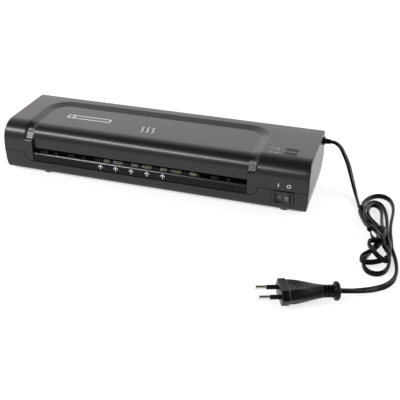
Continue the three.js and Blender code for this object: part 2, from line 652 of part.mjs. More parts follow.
function addIndicators() {
  const board = join(
    box(WINDOW_X - 11, WINDOW_X + 11, -31, -9, 41, 42.6),
    box(WINDOW_X + 4, WINDOW_X + 9, -14, -10, 42.5, 45),
  );
  add('indicator_board', board, BOARD);
  for (const [i, name, material] of [[0, 'ready', LED_GREEN], [1, 'power', LED_RED]]) {
    const y = WINDOW_Y[i];
    const led = turned([[0, 0], [1.9, 0], [1.9, 0.8], [1.5, 0.8], [1.5, 3], [1.1, 4], [0, 4.4]], 16);
    add(`${name}_lamp`, led, material).position.set(WINDOW_X - 2, y, 42.6 + GAP);
    const [w, d] = [WINDOW_W / 2 - GAP / 2, WINDOW_D / 2 - GAP / 2];
    const lens = join(
      box(WINDOW_X - w, WINDOW_X + w, y - d, y + d, 50.4, TOP - 0.7),
      box(WINDOW_X - w - 1, WINDOW_X + w + 1, y - d - 0.8, y + d + 0.8, 49.4, 50.5),
    );
    const hollow = box(WINDOW_X - w + 1, WINDOW_X + w - 1, y - d + 1, y + d - 1, 49, TOP - 1.8);
    add(`${name}_lens`, cut(lens, hollow), SMOKED);
  }
  const block = box(146, 160, -8, 14, FLOOR_IN + GAP, 16);
  const wells = [-3.5, 3, 9.5].map((y) => box(148.5, 157.5, y - 1.6, y + 1.6, 13, 20));
  add('terminal_block', cut(block, ...wells), NYLON);
}

// ---- mains lead ---------------------------------------------------------------------------------
// Strain relief: a barrel inside the wall, a neck through it and a ribbed nose that tapers onto the lead.
function addRelief() {
  const inside = -WALL - 1.6;
  const profile = [
    [0, -15], [5.2, -15], [5.2, inside], [3.9, inside], [3.9, 0.2],
    [5, 0.2], [5, 1.7], [4.3, 2.2], [3.5, RELIEF_OUT], [0, RELIEF_OUT],
  ];
  const body = solid(turned(profile, 16).rotateY(Math.PI / 2));
  const bore = box(-14, 20, -BORE_W / 2, BORE_W / 2, -CORD_T / 2, CORD_T / 2);
  add('cord_relief', cut(body, bore), CORD_BLACK).position.set(HALF, CORD_Y, CORD_Z);
}

// The lead from the strain relief down to the floor, then the far run from the bundle to the plug.
const LEAD_ROUTE = [
  [174.8, 33, 46.5], [179.4, 32.8, 46.2], [185.2, 32.2, 42.4], [190.6, 30.4, 34.8], [195.6, 27.4, 26.4],
  [200.4, 22, 16.6], [204.8, 14.6, 8.6], [208.9, 5, 3.6], [212.6, -8, 2.7], [214.6, -15.6, 2.7],
];
const TAIL_ROUTE = [
  [252.9, -87, 2.7], [255.4, -96, 2.7], [257.5, -107, 2.7], [258.3, -119, 2.7], [256.6, -130.4, 2.7],
  [251, -140.6, 2.9], [242.2, -149.4, 3.9], [231.6, -157.6, 5.9], [222.8, -163.1, 7.6],
  [216.4, -165.7, 8.2],
];

function cordTube(points) {
  const along = points.map(([x, y, z]) => new THREE.Vector3(x, y, z));
  const path = new THREE.CatmullRomCurve3(along, false, 'centripetal');
  const section = new THREE.Shape().absarc(0, 0, 2.1, 0, 2 * Math.PI);
  const steps = Math.round(path.getLength() / 6);
  return new THREE.ExtrudeGeometry(section, { extrudePath: path, steps, curveSegments: 4 });
}

// Outline of the folded lead on the floor: two lobes, joined where the tie gathers them.
function lobe(x, y, radius, length, lean) {
  const shape = new THREE.Shape();
  shape.absarc(0, 0, radius, 0, Math.PI, false);
  shape.lineTo(-radius * 0.45 - lean, -length);
  shape.lineTo(radius * 0.45 - lean, -length);
  return solid(extrude(shape, 11.4, 8).rotateZ(y < -80 ? Math.PI : 0).translate(x, y, 0.2));
}

function addCord() {
  add('cord_lead', cordTube(LEAD_ROUTE), CORD_BLACK);
  const [left, right, low, high] = [234.5, 246.5, 1.9, 10.4]; // where the tie gathers the strands
  const waist = box(left, right, -72, -54, low, high);
  const [upper, lower] = [lobe(233.8, -7, 19.2, 49, -6), lobe(237.8, -111, 16.2, 40, 3)];
  add('cord_bundle', join(upper, lower, waist), CORD_BLACK);
  const around = (y0, y1, off) => box(left - off, right + off, y0, y1, low - off, high + off);
  add('cord_tie', cut(around(-67.5, -61.5, GAP + 1.3), around(-80, -50, GAP)), GUIDE_BLACK);
  add('cord_tail', cordTube(TAIL_ROUTE), CORD_BLACK);
}

// Flat two-pin plug lying on its side: a hexagonal front collar, a body that narrows to a round ribbed
// neck, and a round flange; pins at -X, lead at +X in its own frame.
function plugBody() {
  const hexagon = (x, w, t, blend) => {
    const ring = [];
    for (let i = 0; i < 16; i += 1) {
      const a = (i / 16) * 2 * Math.PI;
      const [cy, cz] = [Math.cos(a), Math.sin(a)];
      const edge = 1 / Math.max(Math.abs(cz), Math.abs(cy) + 0.32 * Math.abs(cz));
      const reach = THREE.MathUtils.lerp(edge, 1, blend);
      ring.push(new THREE.Vector3(x, cy * reach * (w / 2), cz * reach * (t / 2)));
    }
    return ring;
  };
  const collar = [[0, 34.6, 12.9, 0], [0.6, 35.3, 13.7, 0], [6.4, 35.3, 13.7, 0]];
  const taper = [[7, 32, 13.4, 0], [14, 28.4, 13.4, 0.2], [22, 22.4, 13, 0.5], [30, 15.6, 12, 0.8]];
  const ribbed = [
    [37, 11.1], [38, 11], [38.3, 8.6], [40, 8.6], [40.3, 11], [43.2, 11], [43.5, 8.6], [45, 8.6],
  ];
  const flange = [[45.4, 11.4], [46.6, 16], [48.6, 16.4], [50.4, 13], [51, 7.6]];
  const round = [...ribbed, ...flange].map(([x, across]) => [x, across, across, 1]);
  const stations = [...collar, ...taper, ...round];
  return loft(stations.map((row) => hexagon(...row)));
}

const PLUG_YAW = 21;
const PLUG_ROLL = 12; // it lies over on the edge of its collar and on its flange
const PLUG_PITCH = 1.3;
const PLUG_FACE = [168.4, -184.1, 9.35];
const PIN_PITCH = 18.6;
const SLEEVE_END = -9.4; // the insulating sleeve covers the pin's inner half
const PIN_SHOULDER = -18.2;

function addPlug() {
  const group = new THREE.Group();
  group.position.set(...PLUG_FACE);
  const [roll, pitch, yaw] = [-PLUG_ROLL, PLUG_PITCH, PLUG_YAW].map(THREE.MathUtils.degToRad);
  group.rotation.set(roll, pitch, yaw, 'ZYX');
  part.add(group);
  const sockets = [-1, 1].map((s) => rodX(2 + GAP, -5, 6, (s * PIN_PITCH) / 2, 0, 16));
  add('plug_body', cut(plugBody(), ...sockets), CORD_BLACK, group);
  for (const [i, s] of [-1, 1].entries()) {
    const y = (s * PIN_PITCH) / 2;
    const rod = (radius, x0, x1) => rodX(radius, x0, x1, y, 0, 16);
    const pin = join(rod(1.6, -10, 5), rod(2, PIN_SHOULDER, SLEEVE_END), rod(1.2, -19, -18));
    add(`plug_pin_${i + 1}`, pin, BRIGHT, group);
    const sleeve = cut(rod(2, SLEEVE_END + GAP, 5), rod(1.7, -12, 7));
    add(`pin_sleeve_${i + 1}`, sleeve, GUIDE_BLACK, group);
  }
}

addHousing();
addPath();
addFrame();
addDrive();
addSwitch();
addIndicators();
addRelief();
addCord();
addPlug();

export default part;
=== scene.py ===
"""Looks of a pouch laminator: housing, pouch path, switch, mains lead, materials, light and camera."""
import json
from math import atan2, copysign, cos, exp, hypot, pi, radians, sin, sqrt

import bmesh
import bpy
import numpy as np
from mathutils import Matrix, Vector
from numpy.linalg import norm


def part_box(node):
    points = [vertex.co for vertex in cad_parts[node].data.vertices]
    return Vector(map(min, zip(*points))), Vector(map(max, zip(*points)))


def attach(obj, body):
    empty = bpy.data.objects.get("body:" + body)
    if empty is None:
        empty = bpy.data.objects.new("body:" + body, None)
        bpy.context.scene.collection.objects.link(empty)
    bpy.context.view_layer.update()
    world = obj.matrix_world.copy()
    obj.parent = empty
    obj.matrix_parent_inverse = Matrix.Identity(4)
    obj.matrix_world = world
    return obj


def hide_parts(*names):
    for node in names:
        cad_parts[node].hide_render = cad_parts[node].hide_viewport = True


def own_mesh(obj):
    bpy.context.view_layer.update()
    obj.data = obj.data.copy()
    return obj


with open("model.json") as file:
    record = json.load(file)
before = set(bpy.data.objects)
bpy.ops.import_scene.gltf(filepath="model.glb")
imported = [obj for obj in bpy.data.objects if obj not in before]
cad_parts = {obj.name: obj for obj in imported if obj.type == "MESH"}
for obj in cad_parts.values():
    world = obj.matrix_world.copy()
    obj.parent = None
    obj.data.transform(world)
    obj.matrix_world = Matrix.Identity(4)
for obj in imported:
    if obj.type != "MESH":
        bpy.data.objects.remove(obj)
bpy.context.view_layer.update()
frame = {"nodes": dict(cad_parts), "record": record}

MM = 0.001  # shapes below are drawn in millimetres

# ---- driving dimensions, as in the part's source ----
GAP = 0.3  # clearance between parts
SEAM = 0.6  # open line between the cover and the base
HALF = 167.5  # half the length
FRONT, REAR = -47, 47
FOOT_H, TOP, WALL = 3, 54.4, 2.2
FLOOR_IN = FOOT_H + WALL
SEAM_FRONT, SEAM_REAR = 25, 28
ROUND_Y = -25.5  # the front rounding leaves the flat top here
FACE_TOP, FACE_LOW = (-46.4, 36), (-46.7, 12)  # ends of the front face, between its two roundings
REAR_ROUND, END_ROUND = 7, 1.3
REAR_LOWER = ((34, FOOT_H), (36.4, 4.6), (39.9, 11.7), (43.5, 18.9), (45.8, 23.4), (REAR, SEAM_REAR))
# height, half length
END_PROFILE = ((0, 165.6), (FOOT_H, 165.8), (10, 167.1), (26, HALF), (TOP + 0.2, 166.8))
SLOT_L, SLOT_R = -133.2, 105.6
SLOT_LOW, SLOT_HIGH = 25, 29.6
POUCH_Z, EXIT_HALF = 27.2, 7
PANEL_DEPTH, PANEL_BAND = 2, 9.3
PANEL_REAR, PANEL_CORNER = 32, 25
PANEL_L, PANEL_R = SLOT_L - PANEL_BAND, SLOT_R + PANEL_BAND
FLAP_DEPTH = 4
GROOVE = (  # share of the way down a pillar's groove and the point there, below its rounded part
    (0.6, (-38.9, 46.5)), (0.86, (-43.6, 40.2)), (0.92, (-46.25, 38.9)), (1, FACE_TOP),
)
TAB_LOW, TAB_CORNER = 15.4, 8
TAB_L, TAB_R = PANEL_L - 1, PANEL_R + 1
STRIP_FACE_LOW, STRIP_FACE_TOP = (-46.05, TAB_LOW + 0.5), (-45.75, 23.1)
STRIP_RISE = 7.6  # the marks on the strip lean back by its face's 0.3 mm over this height
RIB_PITCH, RIB_FIRST, RIB_HALF = 32.3, SLOT_L + 9.9, 4.5
NARROW_RIB = (12.4, 16.6)  # from the middle of the broad rib
SWITCH_X, SWITCH_Z = 142.3, 17
BEZEL_W, BEZEL_H, BEZEL_OUT = 21.6, 15, 0.9
SHANK_W, SHANK_H = 18.6, 12.6  # the switch's body, behind its bezel
ROCKER_W, ROCKER_H, ROCKER_TILT = 15.4, 9.4, 11
WINDOW_X, WINDOW_Y = 142.8, (-15.5, -24.3)
WINDOW_W, WINDOW_D = 13.2, 5.2
SCREWS = ((-155, -33), (-155, 20), (158, -33), (158, 20))
FEET = {
    "front_left": (-121, -36), "front_right": (143, -36), "rear_left": (-121, 26), "rear_right": (143, 26),
}
SPRING_TURNS, SPRING_RADIUS, SPRING_WIRE = 4, 2.1, 0.38
CORD_W, CORD_T = 5.2, 3.2  # flat twin lead
CORD_STEP = 2.0  # between points along the lead
CORD_Y, CORD_Z, RELIEF_OUT = 33, 46.5, 7
PLUG_FACE = (168.4, -184.1, 9.35)
PLUG_ROLL, PLUG_PITCH, PLUG_YAW = -12, 1.3, 21
PIN_PITCH, PIN_RADIUS, GRIP_SLANT = 18.6, 2, 24

# ---- the photo's view, and its light ----
VIEW_AZIMUTH, VIEW_ELEVATION, VIEW_DISTANCE = 17.66, 30.53, 773.7
VIEW_TARGET, VIEW_LENS = (42.7, -2.5, -27.8), 62.94
FLOOR_GLOW = 0.74
# the fade of the floor's glow under the housing is a painted shadow
GLOW_FADE = (16, 6)  # how far in from the housing's sides the floor's glow ends and starts
SKY_POWER = 1.72
SKY_FRONT = 0.25  # share of the sky's light that comes from the side of the slot
SKY_TURN = (-0.2, 0.35)  # where that share starts and ends, as a direction's part along Y
# height of direction, tone
SKY = ((0.0, 1.0), (0.5, 1.0), (0.7, 0.58), (0.83, 0.36), (0.93, 0.06), (1.0, 0.02))
SKY_TINT = (1, 0.955, 0.972)
LIGHTS = (  # name, place, aim, width, height in metres, and brightness
    ("overhead", (-0.74, -1.0, 1.05), (-0.1, -0.04, 0.045), 1.35, 0.22, 21.0),
    ("right", (1.3, 0.5, 0.7), (0.4, 0.1, 0.0), 0.8, 0.8, 7.0),
)


# ---- camera and lights ----
def aimed(name, data, place, direction):
    """A camera or lamp at a place, in metres, that looks along a direction."""
    obj = bpy.data.objects.new(name, data)
    bpy.context.collection.objects.link(obj)
    obj.location = place
    obj.rotation_mode = "QUATERNION"
    obj.rotation_quaternion = direction.to_track_quat("-Z", "Y")
    return obj


def add_camera():
    azimuth, elevation = radians(VIEW_AZIMUTH), radians(VIEW_ELEVATION)
    back = Vector((sin(azimuth) * cos(elevation), -cos(azimuth) * cos(elevation), sin(elevation)))
    data = bpy.data.cameras.new("camera")
    data.lens, data.sensor_width = VIEW_LENS, 36
    data.clip_start, data.clip_end = 0.05, 20
    place = (Vector(VIEW_TARGET) + back * VIEW_DISTANCE) * MM
    bpy.context.scene.camera = aimed("camera", data, place, -back)


def area_light(name, place, aim, width, height, radiance):
    """A soft panel of a given brightness, in metres, turned towards a point."""
    data = bpy.data.lights.new(name, "AREA")
    data.shape, data.size, data.size_y = "RECTANGLE", width, height
    data.energy = radiance * width * height * pi
    aimed(name, data, place, Vector(aim) - Vector(place))


# ---- materials ----
def feed(owner, target, inputs):
    """Gives each input of a node a value, or a link from another node's output."""
    for name, value in inputs.items():
        if isinstance(value, bpy.types.NodeSocket):
            owner.node_tree.links.new(value, target.inputs[name])
        else:
            target.inputs[name].default_value = value


def node(owner, kind, inputs, operation=None):
    made = owner.node_tree.nodes.new("ShaderNode" + kind)
    if operation:
        made.operation = operation
    feed(owner, made, inputs)
    return made


def placed(owner, space="Object"):
    return node(owner, "TexCoord", {}).outputs[space]


def shader_of(mat):
    return mat.node_tree.nodes["Principled BSDF"]


def new_material(name, metallic=0.0, ior=1.5):
    mat = bpy.data.materials.new(name)
    mat.use_nodes = True
    feed(mat, shader_of(mat), {"Metallic": metallic, "IOR": ior})
    return mat


def dressed(mat, colour, rough, normal):
    feed(mat, shader_of(mat), {"Base Color": colour, "Roughness": rough, "Normal": normal})
    return mat


def noise(mat, size_mm, detail=2.0, stretch=(1, 1, 1)):
    """Noise over the object, with features of a size in millimetres, drawn out by a stretch."""
    place = node(mat, "Mapping", {"Vector": placed(mat), "Scale": [1 / s for s in stretch]})
    inputs = {"Vector": place.outputs["Vector"], "Scale": 1 / (size_mm * MM), "Detail": detail}
    return node(mat, "TexNoise", inputs).outputs["Fac"]


def cells(mat, size_mm, feature="F1"):
    """Cells of a size in millimetres: a colour for each (F1), or the distance to their edges."""
    texture = node(mat, "TexVoronoi", {"Vector": placed(mat), "Scale": 1 / (size_mm * MM)})
    texture.feature = feature
    return texture.outputs["Color" if feature == "F1" else "Distance"]


def ranged(owner, value, low, high, start=0.3, end=0.7):
    """A value's stretch from start to end, spread from low to high."""
    inputs = {"Value": value, "From Min": start, "From Max": end, "To Min": low, "To Max": high}
    return node(owner, "MapRange", inputs).outputs["Result"]


def ramped(owner, value, stops):
    """A colour picked by a value, from (position, colour) stops."""
    ramp = node(owner, "ValToRGB", {"Fac": value})
    elements = ramp.color_ramp.elements
    for _ in stops[2:]:
        elements.new(1)
    for element, (at, colour) in zip(elements, stops):
        element.position = at
        element.color = (*colour, 1)
    return ramp.outputs["Color"]


def tinted(mat, value, dark, light, start=0.3, end=0.7):
    """A colour between two, picked by a value."""
    return ramped(mat, value, [(start, dark), (end, light)])


def bumped(mat, value, depth_mm, over=None):
    """Bumps of a depth in millimetres, on top of others if these are given."""
    inputs = {"Strength": 1, "Distance": depth_mm * MM, "Height": value}
    if over:
        inputs["Normal"] = over
    return node(mat, "Bump", inputs).outputs["Normal"]


def finish(name, dark, light, rough, grain, depth, patches, metallic=0.0, stretch=(1, 1, 1), ior=1.5):
    """A surface with fine grain, soft patches of tone and an uneven polish; one number is a grey tone."""
    mat = new_material(name, metallic, ior)
    dark, light = ((tone,) * 3 if isinstance(tone, float) else tone for tone in (dark, light))
    return dressed(mat, tinted(mat, noise(mat, patches, 4, stretch), dark, light),
                   ranged(mat, noise(mat, patches / 9, 5, stretch), *rough),
                   bumped(mat, noise(mat, grain, 3, stretch), depth))


def casing_plastic():
    """Charcoal ABS with a spark-eroded texture: grains of two sizes under a satin sheen."""
    mat = new_material("casing_abs", 0.0, 1.46)
    coarse = bumped(mat, noise(mat, 1.1, 2), 0.0004)
    dark, light = (0.0075, 0.0072, 0.0074), (0.0105, 0.0101, 0.0103)
    return dressed(mat, tinted(mat, noise(mat, 70, 5), dark, light),
                   ranged(mat, noise(mat, 35, 2), 0.265, 0.28),
                   bumped(mat, noise(mat, 0.3, 2), 0.0003, coarse))


def strip_gloss():
    """Polished black ABS with faint wipe marks along its length."""
    mat = new_material("strip_gloss", 0.0, 1.24)
    wiped = noise(mat, 6, 5, (9, 1, 1))
    return dressed(mat, tinted(mat, wiped, (0.003, 0.003, 0.0035), (0.0055, 0.0055, 0.006)),
                   ranged(mat, wiped, 0.11, 0.2), bumped(mat, noise(mat, 24, 2, (4, 1, 1)), 0.02))


def zinc_plate():
    """Zinc-plated sheet: faint crystals, rolling lines and a dull sheen."""
    mat = new_material("zinc_plate", 1.0)
    dark, light = (0.42, 0.43, 0.44), (0.62, 0.62, 0.61)
    return dressed(mat, tinted(mat, cells(mat, 2.4), dark, light, 0.1, 0.9),
                   ranged(mat, noise(mat, 5, 4), 0.3, 0.48),
                   bumped(mat, noise(mat, 0.5, 3, (1, 8, 8)), 0.01))


def mica_sheet():
    """Mica: overlapping flakes of brown and grey-green with bright edges."""
    mat = new_material("mica_sheet")
    flake = 3.5
    dark, light = (0.19, 0.17, 0.10), (0.36, 0.34, 0.25)
    return dressed(mat, tinted(mat, cells(mat, flake), dark, light, 0.1, 0.9),
                   ranged(mat, noise(mat, 2, 4), 0.35, 0.65),
                   bumped(mat, cells(mat, flake, "DISTANCE_TO_EDGE"), 0.05))


def board_green():
    """Circuit board: green mask over the glass weave, with the tracks showing through as lighter lines."""
    mat = new_material("board_green")
    tracks = node(mat, "TexBrick", {
        "Vector": placed(mat), "Scale": 1 / (7 * MM), "Mortar Size": 0.03,
        "Color1": (0.03, 0.13, 0.05, 1), "Color2": (0.04, 0.16, 0.06, 1), "Mortar": (0.10, 0.30, 0.12, 1),
    })
    return dressed(mat, tracks.outputs["Color"],
                   ranged(mat, noise(mat, 3, 4), 0.25, 0.45), bumped(mat, noise(mat, 0.4, 2), 0.02))


def clear_dome(name, dark, light):
    """Coloured see-through plastic with faint flow lines."""
    mat = new_material(name)
    shader_of(mat).inputs["Transmission Weight"].default_value = 0.4
    flow = noise(mat, 1.5, 3)
    return dressed(mat, tinted(mat, flow, dark, light),
                   ranged(mat, flow, 0.06, 0.16), bumped(mat, noise(mat, 2.5, 1), 0.01))


# dark tone, light tone, roughness
NICKEL = (0.62, 0.59, 0.55), (0.8, 0.77, 0.72), (0.1, 0.24)
EXTRUDED = (0.50, 0.50, 0.47), (0.66, 0.66, 0.63), (0.3, 0.46)
# olive-tinted aluminium, darkened with painted shade for where it lies inside the slot
OLIVE_AND_SHADED = (0.05, 0.05, 0.04), (0.115, 0.112, 0.092), (0.4, 0.6)
WHITE = (0.62, 0.62, 0.61), (0.78, 0.78, 0.77), (0.45, 0.6)
FINISHES = {
    "casing": casing_plastic(),
    "strip_black": strip_gloss(),
    "rocker_black": finish("rocker_nylon", 0.008, 0.012, (0.22, 0.32), 0.5, 0.004, 8),
    "guide_black": finish("guide_moulding", 0.003, 0.006, (0.35, 0.5), 0.5, 0.01, 20, ior=1.25),
    "foot_rubber": finish("foot_rubber", 0.008, 0.016, (0.65, 0.85), 0.7, 0.05, 6),
    "cord_pvc": finish("cord_pvc", 0.002, 0.004, (0.2, 0.28), 0.9, 0.004, 30, ior=1.19),
    "plug_pvc": finish("plug_pvc", 0.003, 0.005, (0.24, 0.34), 0.45, 0.004, 12, ior=1.24),
    "zinc_steel": zinc_plate(),
    "bright_metal": finish("nickel", *NICKEL, 0.6, 0.006, 4, 1.0, (1, 0.12, 0.12)),
    "aluminium": finish("extruded_aluminium", *EXTRUDED, 0.4, 0.02, 12, 1.0, (40, 1, 1)),
    "mica": mica_sheet(),
    "silicone": finish("silicone", (0.28, 0.065, 0.04), (0.40, 0.11, 0.07), (0.55, 0.75), 0.8, 0.03, 10),
    "nylon": finish("nylon", (0.66, 0.63, 0.55), (0.80, 0.78, 0.71), (0.38, 0.55), 0.7, 0.02, 9),
    "circuit_board": board_green(),
    "smoked_lens": finish("smoked_lens", 0.004, 0.007, (0.05, 0.12), 3, 0.003, 6, ior=1.3),
    "ready_lamp": clear_dome("ready_lamp", (0.06, 0.36, 0.10), (0.16, 0.60, 0.2)),
    "power_lamp": clear_dome("power_lamp", (0.5, 0.04, 0.02), (0.75, 0.1, 0.05)),
    # olive-tinted aluminium darkened with painted shade, for the heater edge inside the slot
    "olive_and_shaded_metal": finish("olive_and_shaded_metal", *OLIVE_AND_SHADED, 0.6, 0.02, 14, 1.0),
    "lip_gloss": finish("lip_gloss", 0.008, 0.013, (0.26, 0.33), 0.8, 0.002, 20, ior=1.6),
    "print": finish("white_print", *WHITE, 0.5, 0.01, 5),
    "grey_print": finish("grey_print", 0.34, 0.46, (0.45, 0.6), 0.4, 0.01, 3),
}


# ---- meshes ----
AXES = {
    "X": lambda a, b, h: (h, a, b),
    "Y": lambda a, b, h: (a, h, b),
    "Z": lambda a, b, h: (a, b, h),
}


def raw(points, faces, name="raw"):
    """A closed mesh from points in millimetres, with its faces turned outwards."""
    mesh = bpy.data.meshes.new(name)
    mesh.from_pydata([tuple(float(v) * MM for v in p) for p in points], [], faces)
    work = bmesh.new()
    work.from_mesh(mesh)
    bmesh.ops.recalc_face_normals(work, faces=work.faces)
    work.to_mesh(mesh)
    work.free()
    obj = bpy.data.objects.new(name, mesh)
    bpy.context.collection.objects.link(obj)
    return obj


def grid_faces(rows, columns):
    """Quads over rings of points, each ring joined end to start."""
    faces = []
    for i in range(rows - 1):
        for j in range(columns):
            a, b, k = i * columns + j, i * columns + (j + 1) % columns, (i + 1) * columns
            faces.append((a, b, k + (j + 1) % columns, k + j))
    return faces


def skinned(rings):
    """A closed skin over rings of equal length, with a flat face at each end."""
    count = len(rings[0])
    last = (len(rings) - 1) * count
    faces = grid_faces(len(rings), count)
    faces += [tuple(range(count))[::-1], tuple(last + k for k in range(count))]
    return raw([p for ring in rings for p in ring], faces)


def hoop(rings):
    """A closed skin over rings of equal length, with the last one joined to the first."""
    columns = len(rings[0])
    count = len(rings) * columns
    faces = [tuple(v % count for v in face) for face in grid_faces(len(rings) + 1, columns)]
    return raw([p for ring in rings for p in ring], faces)


def unit(vectors):
    return vectors / norm(vectors, axis=-1, keepdims=True)


def inset(outline, by):
    """A counter-clockwise outline moved inwards along its mitres."""
    p = np.array(outline, float)
    into, out = unit(p - np.roll(p, 1, 0)), unit(np.roll(p, -1, 0) - p)
    left_a, left_b = into[:, ::-1] * (-1, 1), out[:, ::-1] * (-1, 1)
    return p + by * (left_a + left_b) / (1 + (left_a * left_b).sum(1))[:, None]


def stack(levels, axis):
    """A closed form through (outline, height) levels, drawn out along an axis."""
    return skinned([[AXES[axis](a, b, h) for a, b in outline] for outline, h in levels])


def prism(outline, axis, low, high, bevel=0.0, steps=3):
    """An outline drawn out along an axis, with rounded edges at both ends."""
    if not bevel:
        return stack([(outline, low), (outline, high)], axis)
    levels = []
    for i in range(steps + 1):
        a = pi / 2 * i / steps
        levels.append((inset(outline, bevel * (1 - sin(a))), bevel * (1 - cos(a))))
    near = [(o, low + h) for o, h in levels]
    far = [(o, high - h) for o, h in reversed(levels)]
    return stack(near + far, axis)


def arc(cx, cy, radius, start, end, count):
    """Points at even steps round a circle, between two angles in degrees."""
    angles = np.radians(np.linspace(start, end, count))
    return [(cx + radius * cos(a), cy + radius * sin(a)) for a in angles]


def circle(cx, cy, radius, sides=32):
    return arc(cx, cy, radius, 0, 360, sides + 1)[:-1]


def rounded(cx, cy, width, height, radius):
    """Counter-clockwise outline of a rectangle with round corners."""
    points = []
    for k, (sx, sy) in enumerate(((1, 1), (-1, 1), (-1, -1), (1, -1))):
        x, y = cx + sx * (width / 2 - radius), cy + sy * (height / 2 - radius)
        points += arc(x, y, radius, 90 * k, 90 * k + 90, 6)
    return points


def lathe(profile, sides, place):
    """A turned form from (along, radius) pairs; place sends (along, a, b) to a point."""
    rings = []
    for along, radius in profile:
        rings.append([place(along, b, c) for b, c in circle(0, 0, radius, sides)])
    return skinned(rings)


def moved(point, yaw, pitch=0, roll=0):
    """A turn about X, then Y, then Z, in degrees, followed by a move to a point in millimetres."""
    turn = Matrix.Translation(Vector(point) * MM)
    for angle, axis in ((yaw, "Z"), (pitch, "Y"), (roll, "X")):
        turn = turn @ Matrix.Rotation(radians(angle), 4, axis)
    return turn


def combined(target, operation, *others):
    """Joins, cuts or crosses closed meshes into one."""
    for other in others:
        change = target.modifiers.new(operation, "BOOLEAN")
        change.operation, change.object, change.solver = operation, other, "MANIFOLD"
    graph = bpy.context.evaluated_depsgraph_get()
    mesh = bpy.data.meshes.new_from_object(target.evaluated_get(graph))
    target.modifiers.clear()
    target.data = mesh
    for other in others:
        bpy.data.objects.remove(other)
    return target


def cut(target, *others):
    return combined(target, "DIFFERENCE", *others)


def joined(target, *others):
    return combined(target, "UNION", *others)


def gathered(*parts):
    """Separate closed forms as one mesh."""
    work = bmesh.new()
    for part in parts:
        work.from_mesh(part.data)
    mesh = bpy.data.meshes.new("gathered")
    work.to_mesh(mesh)
    work.free()
    for part in parts[1:]:
        bpy.data.objects.remove(part)
    parts[0].data = mesh
    return parts[0]


def piece(obj, name, slot, stands_for=(), body="housing", sharp=30, finish_of=None):
    """Names a form, gives it its finish, shades it smooth but for sharp edges and puts it on its body."""
    obj.name = name
    obj.data.name = name
    obj.data.materials.clear()
    obj.data.materials.append(FINISHES[finish_of or slot])
    obj.data.polygons.foreach_set("use_smooth", [True] * len(obj.data.polygons))
    obj.data.set_sharp_from_angle(angle=radians(sharp))
    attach(obj, body)
    if stands_for:
        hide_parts(*stands_for)
    return obj


# ---- curves ----
def bezier(p0, p1, p2, p3, t):
    p0, p1, p2, p3 = (np.array(p, float) for p in (p0, p1, p2, p3))
    return (1 - t) ** 3 * p0 + 3 * (1 - t) ** 2 * t * p1 + 3 * (1 - t) * t * t * p2 + t ** 3 * p3


def bezier_line(p0, p1, p2, p3, count):
    return [tuple(bezier(p0, p1, p2, p3, t)) for t in np.linspace(0, 1, count)]


def clamp(t):
    return min(1.0, max(0.0, t))


def smooth(t):
    t = clamp(t)
    return t * t * (3 - 2 * t)


def lerp(a, b, t):
    return a + (b - a) * t


def respaced(line, step):
    """Points at even steps along a line of points."""
    along = np.concatenate([[0], np.cumsum(norm(np.diff(line, axis=0), axis=1))])
    at = np.linspace(0, along[-1], max(2, round(along[-1] / step)) + 1)
    return np.column_stack([np.interp(at, along, line[:, k]) for k in range(line.shape[1])])


def through(points, step):
    """Points at even steps along a smooth curve through the given ones."""
    p = np.array(points, float)
    p = np.vstack([2 * p[0] - p[1], p, 2 * p[-1] - p[-2]])
    knots = np.concatenate([[0], np.cumsum(np.sqrt(norm(np.diff(p, axis=0), axis=1)))])
    dense = []
    for i in range(1, len(p) - 2):
        t0, t1, t2, t3 = knots[i - 1:i + 3]
        for t in np.linspace(t1, t2, 24, endpoint=i == len(p) - 3):
            def part(a, b, start, end, t=t):
                return lerp(a, b, (t - start) / (end - start))
            middle = part(p[i], p[i + 1], t1, t2)
            before = part(part(p[i - 1], p[i], t0, t1), middle, t0, t2)
            after = part(middle, part(p[i + 1], p[i + 2], t2, t3), t1, t3)
            dense.append(part(before, after, t1, t2))
    return respaced(np.array(dense), step)


# ---- housing ----
def front_curve(t, depth=0.0):
    """Front rounding of the cover, from the flat top down to the front face, or at a depth under it."""
    ends = ((ROUND_Y, TOP), (-37, TOP), (-45.3, TOP - 7.4), FACE_TOP)
    y, z = bezier(*ends, t)
    ahead = unit(bezier(*ends, min(1, t + 0.01)) - bezier(*ends, max(0, t - 0.01)))
    return y - ahead[1] * depth, z + ahead[0] * depth


def groove_curve(t):
    """Floor of the groove down each pillar: it rounds over, faces forward and ends in a narrow ledge."""
    shares, points = zip(*GROOVE)
    if t < shares[0]:
        return bezier((ROUND_Y, TOP - 2), (-32.5, TOP - 2), (-36.6, TOP - 3.4), points[0], t / shares[0])
    return [np.interp(t, shares, along) for along in zip(*points)]


def front_y(z):
    """The front face between the rounding above and the one below; it leans back a little upwards."""
    return float(np.interp(z, (FACE_LOW[1], SEAM_FRONT, FACE_TOP[1]), (FACE_LOW[0], FRONT, FACE_TOP[0])))


def end_x(z):
    """Half length at a height: both ends lean in a little, and more near the floor."""
    heights, halves = zip(*END_PROFILE)
    return float(np.mean([np.interp(z + d, heights, halves) for d in (-3, -1.5, 0, 1.5, 3)]))


def inside_panel(d, y):
    """Distance inside the panel's outer edge, at a distance from its side; the rear corners are round."""
    dy = PANEL_REAR - y
    if d < PANEL_CORNER and dy < PANEL_CORNER:
        return PANEL_CORNER - hypot(PANEL_CORNER - d, PANEL_CORNER - dy)
    return min(d, dy)


def panel_edges(d):
    """Where the border's outer and inner edges cross the section at a distance from the panel's side."""
    start = PANEL_REAR - PANEL_CORNER
    off = max(0.0, PANEL_CORNER - d)
    reach = [start + sqrt(max(0, r * r - off * off)) for r in (PANEL_CORNER, PANEL_CORNER - PANEL_BAND)]
    return max(reach[0], reach[1] + 0.3), reach[1]


